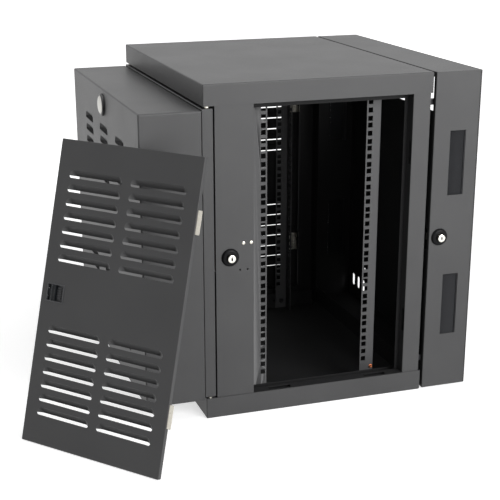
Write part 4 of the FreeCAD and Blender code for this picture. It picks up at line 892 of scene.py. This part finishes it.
bmesh.ops.triangle_fill(work, use_beauty=True, use_dissolve=False, edges=work.edges, normal=(0, -1, 0))
bmesh.ops.recalc_face_normals(work, faces=work.faces)
if sum(face.normal.y for face in work.faces) > 0:
    bmesh.ops.reverse_faces(work, faces=work.faces)
bmesh.ops.solidify(work, geom=work.faces, thickness=plate_high.y - plate_low.y)
formed("wall_plate_punched", work, coat, "wall_section", "black_coat", "wall_plate")
for node in ("wall_side_right", "wall_side_left", "wall_top", "wall_bottom"):
    kept(f"{node}_folded", node, "wall_section", "black_coat", coat)


# ---- brush ports
# Four dense strips of black nylon bristles in anodised aluminium channels, riveted behind the rear
# edges of the ports in the wall section's sides. Cables push the bristles aside.
anodised = mottled("anodised_aluminium", (700.0, 2.0, 0.6, (1.0, 1.0, 0.04)), (0.030, 0.030, 0.032),
                   (0.060, 0.060, 0.064), 0.31, 0.14, (0.2, 0.00004), Metallic=1.0)
nylon = mottled("nylon_bristles", (1500.0, 2.0, 0.7, (0.05, 0.05, 1.0)), (0.006, 0.006, 0.007),
                (0.026, 0.027, 0.030), 0.55, 0.2, Specular_IOR_Level=0.25)


def bristle_tree(name, finish):
    """Upright rows of thin bristles that reach along -Y, each with its own small lean and length."""
    net, size = tree_inputs(name, ("Count", 200), ("Rows", 3), ("Tall", 0.13), ("Thick", 0.0024),
                            ("Length", 0.036), ("Radius", 0.0003), ("Lean", 0.02))
    spots = net.node("GeometryNodeMeshGrid", {"Size X": size.thick, "Size Y": size.tall,
                                              "Vertices X": size.rows, "Vertices Y": size.count})
    laid = (pi / 2, 0.0, 0.0)
    strip = net.node("GeometryNodeRealizeInstances", {0: net.node("GeometryNodeInstanceOnPoints", {
        "Points": size.places, "Instance": net.moved(spots, laid)})})
    shaft = net.node("GeometryNodeMeshCone", {
        "Vertices": 4, "Radius Top": size.radius * 0.6, "Radius Bottom": size.radius,
        "Depth": size.length}, fill_type="NGON")
    shaft = net.moved(shaft, laid, Y=size.length * 0.5)
    lean = net.node("ShaderNodeVectorMath", {
        0: net.node("FunctionNodeRandomValue", {0: (-1.0, 0.0, -1.0), 1: (1.0, 0.0, 1.0), "Seed": 3},
                    data_type="FLOAT_VECTOR"), "Scale": size.lean}, operation="SCALE")
    grow = net.node("FunctionNodeRandomValue", {2: 0.94, 3: 1.0, "Seed": 5}, output=1, data_type="FLOAT")
    stand = net.node("GeometryNodeInstanceOnPoints", {
        "Points": strip, "Instance": shaft, "Rotation": lean,
        "Scale": net.vector(X=1.0, Y=grow, Z=1.0)})
    return tree_ends(net, stand, finish)


side_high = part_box("wall_side_right")[1]
bristles_low, bristles_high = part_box("brush_bristles")
holders_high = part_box("brush_holders")[1]
HOLDER_HALF = 0.003      # half the depth of a holder's channel
PORT_MIDDLE, PORT_SPACING, RIVET_SPACING = 0.3206, 0.2866, 0.124
bristle_x = side_high.x - STEEL - HOLDER_HALF
port_z = [pan_low.z + PORT_MIDDLE + side * PORT_SPACING / 2 for side in (-1, 1)]
strips = [((side * bristle_x, (bristles_low.y + bristles_high.y) / 2, z), (0, -1, 0))
          for side in (1, -1) for z in port_z]
fitted("brush_bristles_nylon",
       grown(bristle_tree("brush_strips", nylon), "brush_bristles", strips, count=240, rows=3,
             tall=0.1325, thick=0.0018, length=bristles_high.y - bristles_low.y - 0.0006, radius=0.00035,
             lean=0.006),
       "wall_section", "bristle", "brush_bristles")
kept("brush_holders_drawn", "brush_holders", "wall_section", "holder_aluminium", anodised, 0.0004, 0.0002)
rivets = [((side * (bristle_x - HOLDER_HALF), holders_high.y - HOLDER_HALF, z + end * RIVET_SPACING / 2),
           (-side, 0, 0)) for side in (1, -1) for z in port_z for end in (-1, 1)]
set_in(dark_fasteners, "brush_rivets", rivets, "wall_section", sides=16, radius=0.0022, height=0.0009,
       crown=0.6, recess_sides=8, recess=0.0006, recess_depth=0.0004, shank_radius=0.0012, shank_length=0.003)


# ---- swing hinges and guides
# Two coated steel hinges on the left, each with three rolled knuckles on a zinc-plated pin, welded
# outside. On the right, two plated tongues enter the wall section as the cabinet swings shut.
HINGE_LINE = Vector((-0.305, -0.0975, 0.0))
KNUCKLE = 0.005
PIN = 0.0025
PIN_HEAD = 0.004
HEAD_RISE = 0.002
HINGE_TALL = 0.060
THIRD = HINGE_TALL / 3
PLAY = 0.0001            # at each end of a knuckle
LEAF_STEEL = 0.002
LEAF_START = 0.0053      # flat leaves begin this far from the pin
wall_skin, main_skin = -0.300, -0.2985


def rolled(work, rise, third):
    """A rolled knuckle round the pin in one of a hinge's thirds, with a small gap at each end."""
    low = rise - HINGE_TALL / 2 + third * THIRD + PLAY
    high = low + THIRD - 2 * PLAY
    made = bmesh.new()
    lathed(made, HINGE_LINE + Vector((0, 0, low)), (0, 0, 1),
           [(0, PIN), (0, KNUCKLE - 0.0003), (0.0003, KNUCKLE), (high - low - 0.0003, KNUCKLE),
            (high - low, KNUCKLE - 0.0003), (high - low, PIN), (0, PIN)], 32)
    merged(made, 1e-7)
    loose = bpy.data.meshes.new("knuckle")
    made.to_mesh(loose)
    made.free()
    work.from_mesh(loose)
    bpy.data.meshes.remove(loose)


def leaf(work, outer, near, far, low, high, steel=LEAF_STEEL):
    """A leaf's flat part, by its outer face, its two ends along Y and its rise, without its burr."""
    corners = box_into(work, (outer, HINGE_LINE.y + near, low), (outer + steel, HINGE_LINE.y + far, high))
    bevelled(work, list({edge for corner in corners for edge in corner.link_edges}), 0.0004, 2)


wall_leaves, main_leaves, pins = bmesh.new(), bmesh.new(), bmesh.new()
wall_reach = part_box("swing_hinge_wall_leaves")[1].y - HINGE_LINE.y
main_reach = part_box("swing_hinge_main_leaves")[0].y - HINGE_LINE.y
for height in (0.130, 0.510):
    rise = pan_low.z + height
    low, high = rise - HINGE_TALL / 2 + PLAY, rise + HINGE_TALL / 2 - PLAY
    inner_low, inner_high = low + THIRD, high - THIRD
    leaf(wall_leaves, wall_skin - LEAF_STEEL, LEAF_START, wall_reach, low, high)
    leaf(main_leaves, main_skin - LEAF_STEEL, main_reach, -LEAF_START, low, high)
    leaf(main_leaves, -0.3035, -0.0050, -0.0030, inner_low, inner_high, 0.0045)
    leaf(main_leaves, main_skin - LEAF_STEEL, -0.0060, -0.0030, inner_low, inner_high)
    for third in (0, 2):
        rolled(wall_leaves, rise, third)
        end = low + third * THIRD
        leaf(wall_leaves, wall_skin - LEAF_STEEL, 0.0005, 0.0060, end, end + THIRD - 2 * PLAY)
    rolled(main_leaves, rise, 1)
    long = HINGE_TALL - 2 * PLAY + 2 * HEAD_RISE
    lathed(pins, HINGE_LINE + Vector((0, 0, low - HEAD_RISE)), (0, 0, 1),
           [(0, 0), (0, PIN_HEAD - 0.001), (0.0006, PIN_HEAD), (HEAD_RISE, PIN_HEAD), (HEAD_RISE, PIN),
            (long - HEAD_RISE, PIN), (long - HEAD_RISE, PIN_HEAD), (long - 0.0006, PIN_HEAD),
            (long, PIN_HEAD - 0.001), (long, 0)], 24)
formed("swing_hinge_wall_leaves_coated", wall_leaves, coat, "wall_section",
       "black_coat", "swing_hinge_wall_leaves")
formed("swing_hinge_main_leaves_coated", main_leaves, coat, "main_body",
       "black_coat", "swing_hinge_main_leaves")
formed("swing_hinge_pins_plated", pins, zinc, "wall_section", "zinc_plate", "swing_hinge_pins")
kept("swing_guides_plated", "swing_guides", "main_body", "zinc_plate", black_zinc, 0.0006, 0.0002)


# ---- earth screw
# A copper-plated hex screw with a socket in its head and a round washer, at the foot of the right
# rear rail. It clamps the earth wire's eye.
copper = mottled("copper_plating", (500.0, 3.0, 0.6), (0.52, 0.20, 0.10), (0.80, 0.36, 0.20),
                 0.26, 0.14, Metallic=1.0)
earth_low, earth_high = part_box("earth_screw")
earth_middle = (earth_low + earth_high) / 2
WASHER = 0.00125
work = bmesh.new()
lathed(work, (earth_low.x, earth_middle.y, earth_middle.z), (1, 0, 0),
       [(0, 0), (0, 0.0041), (0.0010, 0.0041), (WASHER, 0.0038), (WASHER, 0)], 32)
lathed(work, (earth_low.x + WASHER, earth_middle.y, earth_middle.z), (1, 0, 0),
       [(0, 0), (0, 0.0034), (0.0018, 0.0034), (0.0025, 0.0029), (0.0025, 0.0012), (0.0016, 0.0010),
        (0.0016, 0)], 6)
formed("earth_screw_copper", work, copper, "main_body", "copper", "earth_screw")


# ---- floor, light and surroundings
# A plain pale floor that takes the cabinet's shadow, a large soft light from the right and above,
# another overhead and a weak one in front. The room is dim, and white where it is seen directly.
def seen_directly(net):
    """1 for what the camera, a reflection or clear matter looks at, and 0 for stray light."""
    path = net.tree.nodes.new("ShaderNodeLightPath")
    rays = [Value(net, path.outputs[f"Is {way} Ray"]) for way in ("Camera", "Glossy", "Transmission")]
    return net.node("ShaderNodeMath", {0: rays[0] + rays[1] + rays[2], 1: 1.0}, operation="MINIMUM")


floor_paint = Finish("studio_floor", Roughness=0.7, Emission_Strength=1.0)
haze = floor_paint.noise(3.0, 2.0)
floor_paint.feed("Base Color", floor_paint.blend(haze, (0.60, 0.60, 0.60), (0.64, 0.64, 0.64)))
from_middle = floor_paint.node("ShaderNodeVectorMath", {0: floor_paint.place}, output="Value",
                               operation="LENGTH")
open_floor = floor_paint.node("ShaderNodeMapRange", {0: from_middle, 1: 0.6, 2: 2.2, 3: 0.66, 4: 1.0},
                              interpolation_type="SMOOTHSTEP")
floor_paint.feed("Emission Color", floor_paint.blend(seen_directly(floor_paint) * open_floor,
                                                     (0.0, 0.0, 0.0), (1.0, 1.0, 1.0)))
work = bmesh.new()
bmesh.ops.create_grid(work, x_segments=1, y_segments=1, size=14.0,
                      matrix=Matrix.Translation((0, 0, pan_low.z)))
in_scene("studio_floor", meshed(work, "studio_floor", floor_paint.material))

for name, place, size, power in (("key_light", (3.4, 1.0, 1.3), 2.4, 172.0),
                                 ("overhead_light", (0.2, 0.0, 3.0), 3.0, 50.0),
                                 ("front_light", (-1.0, -3.6, 1.2), 2.4, 7.0)):
    lamp = bpy.data.lights.new(name, "AREA")
    lamp.shape = "SQUARE"
    lamp.size = size
    lamp.energy = power
    holder = in_scene(name, lamp)
    holder.location = place
    holder.rotation_euler = (Vector((0, -0.2, 0)) - Vector(place)).to_track_quat("-Z", "Y").to_euler()

room = bpy.data.worlds.new("studio_room")
room.use_nodes = True
bpy.context.scene.world = room
room_net = Net(room.node_tree)
room_net.tree.nodes.clear()
dim, bright = (room_net.node("ShaderNodeBackground", {"Color": (1.0, 1.0, 1.0, 1.0), "Strength": strength})
               for strength in (0.12, 1.0))
mixed = room_net.node("ShaderNodeMixShader", {0: seen_directly(room_net), 1: dim, 2: bright})
last = room_net.tree.nodes.new("ShaderNodeOutputWorld")
room_net.tree.links.new(mixed.socket, last.inputs[0])
bpy.context.scene.view_settings.view_transform = "Standard"
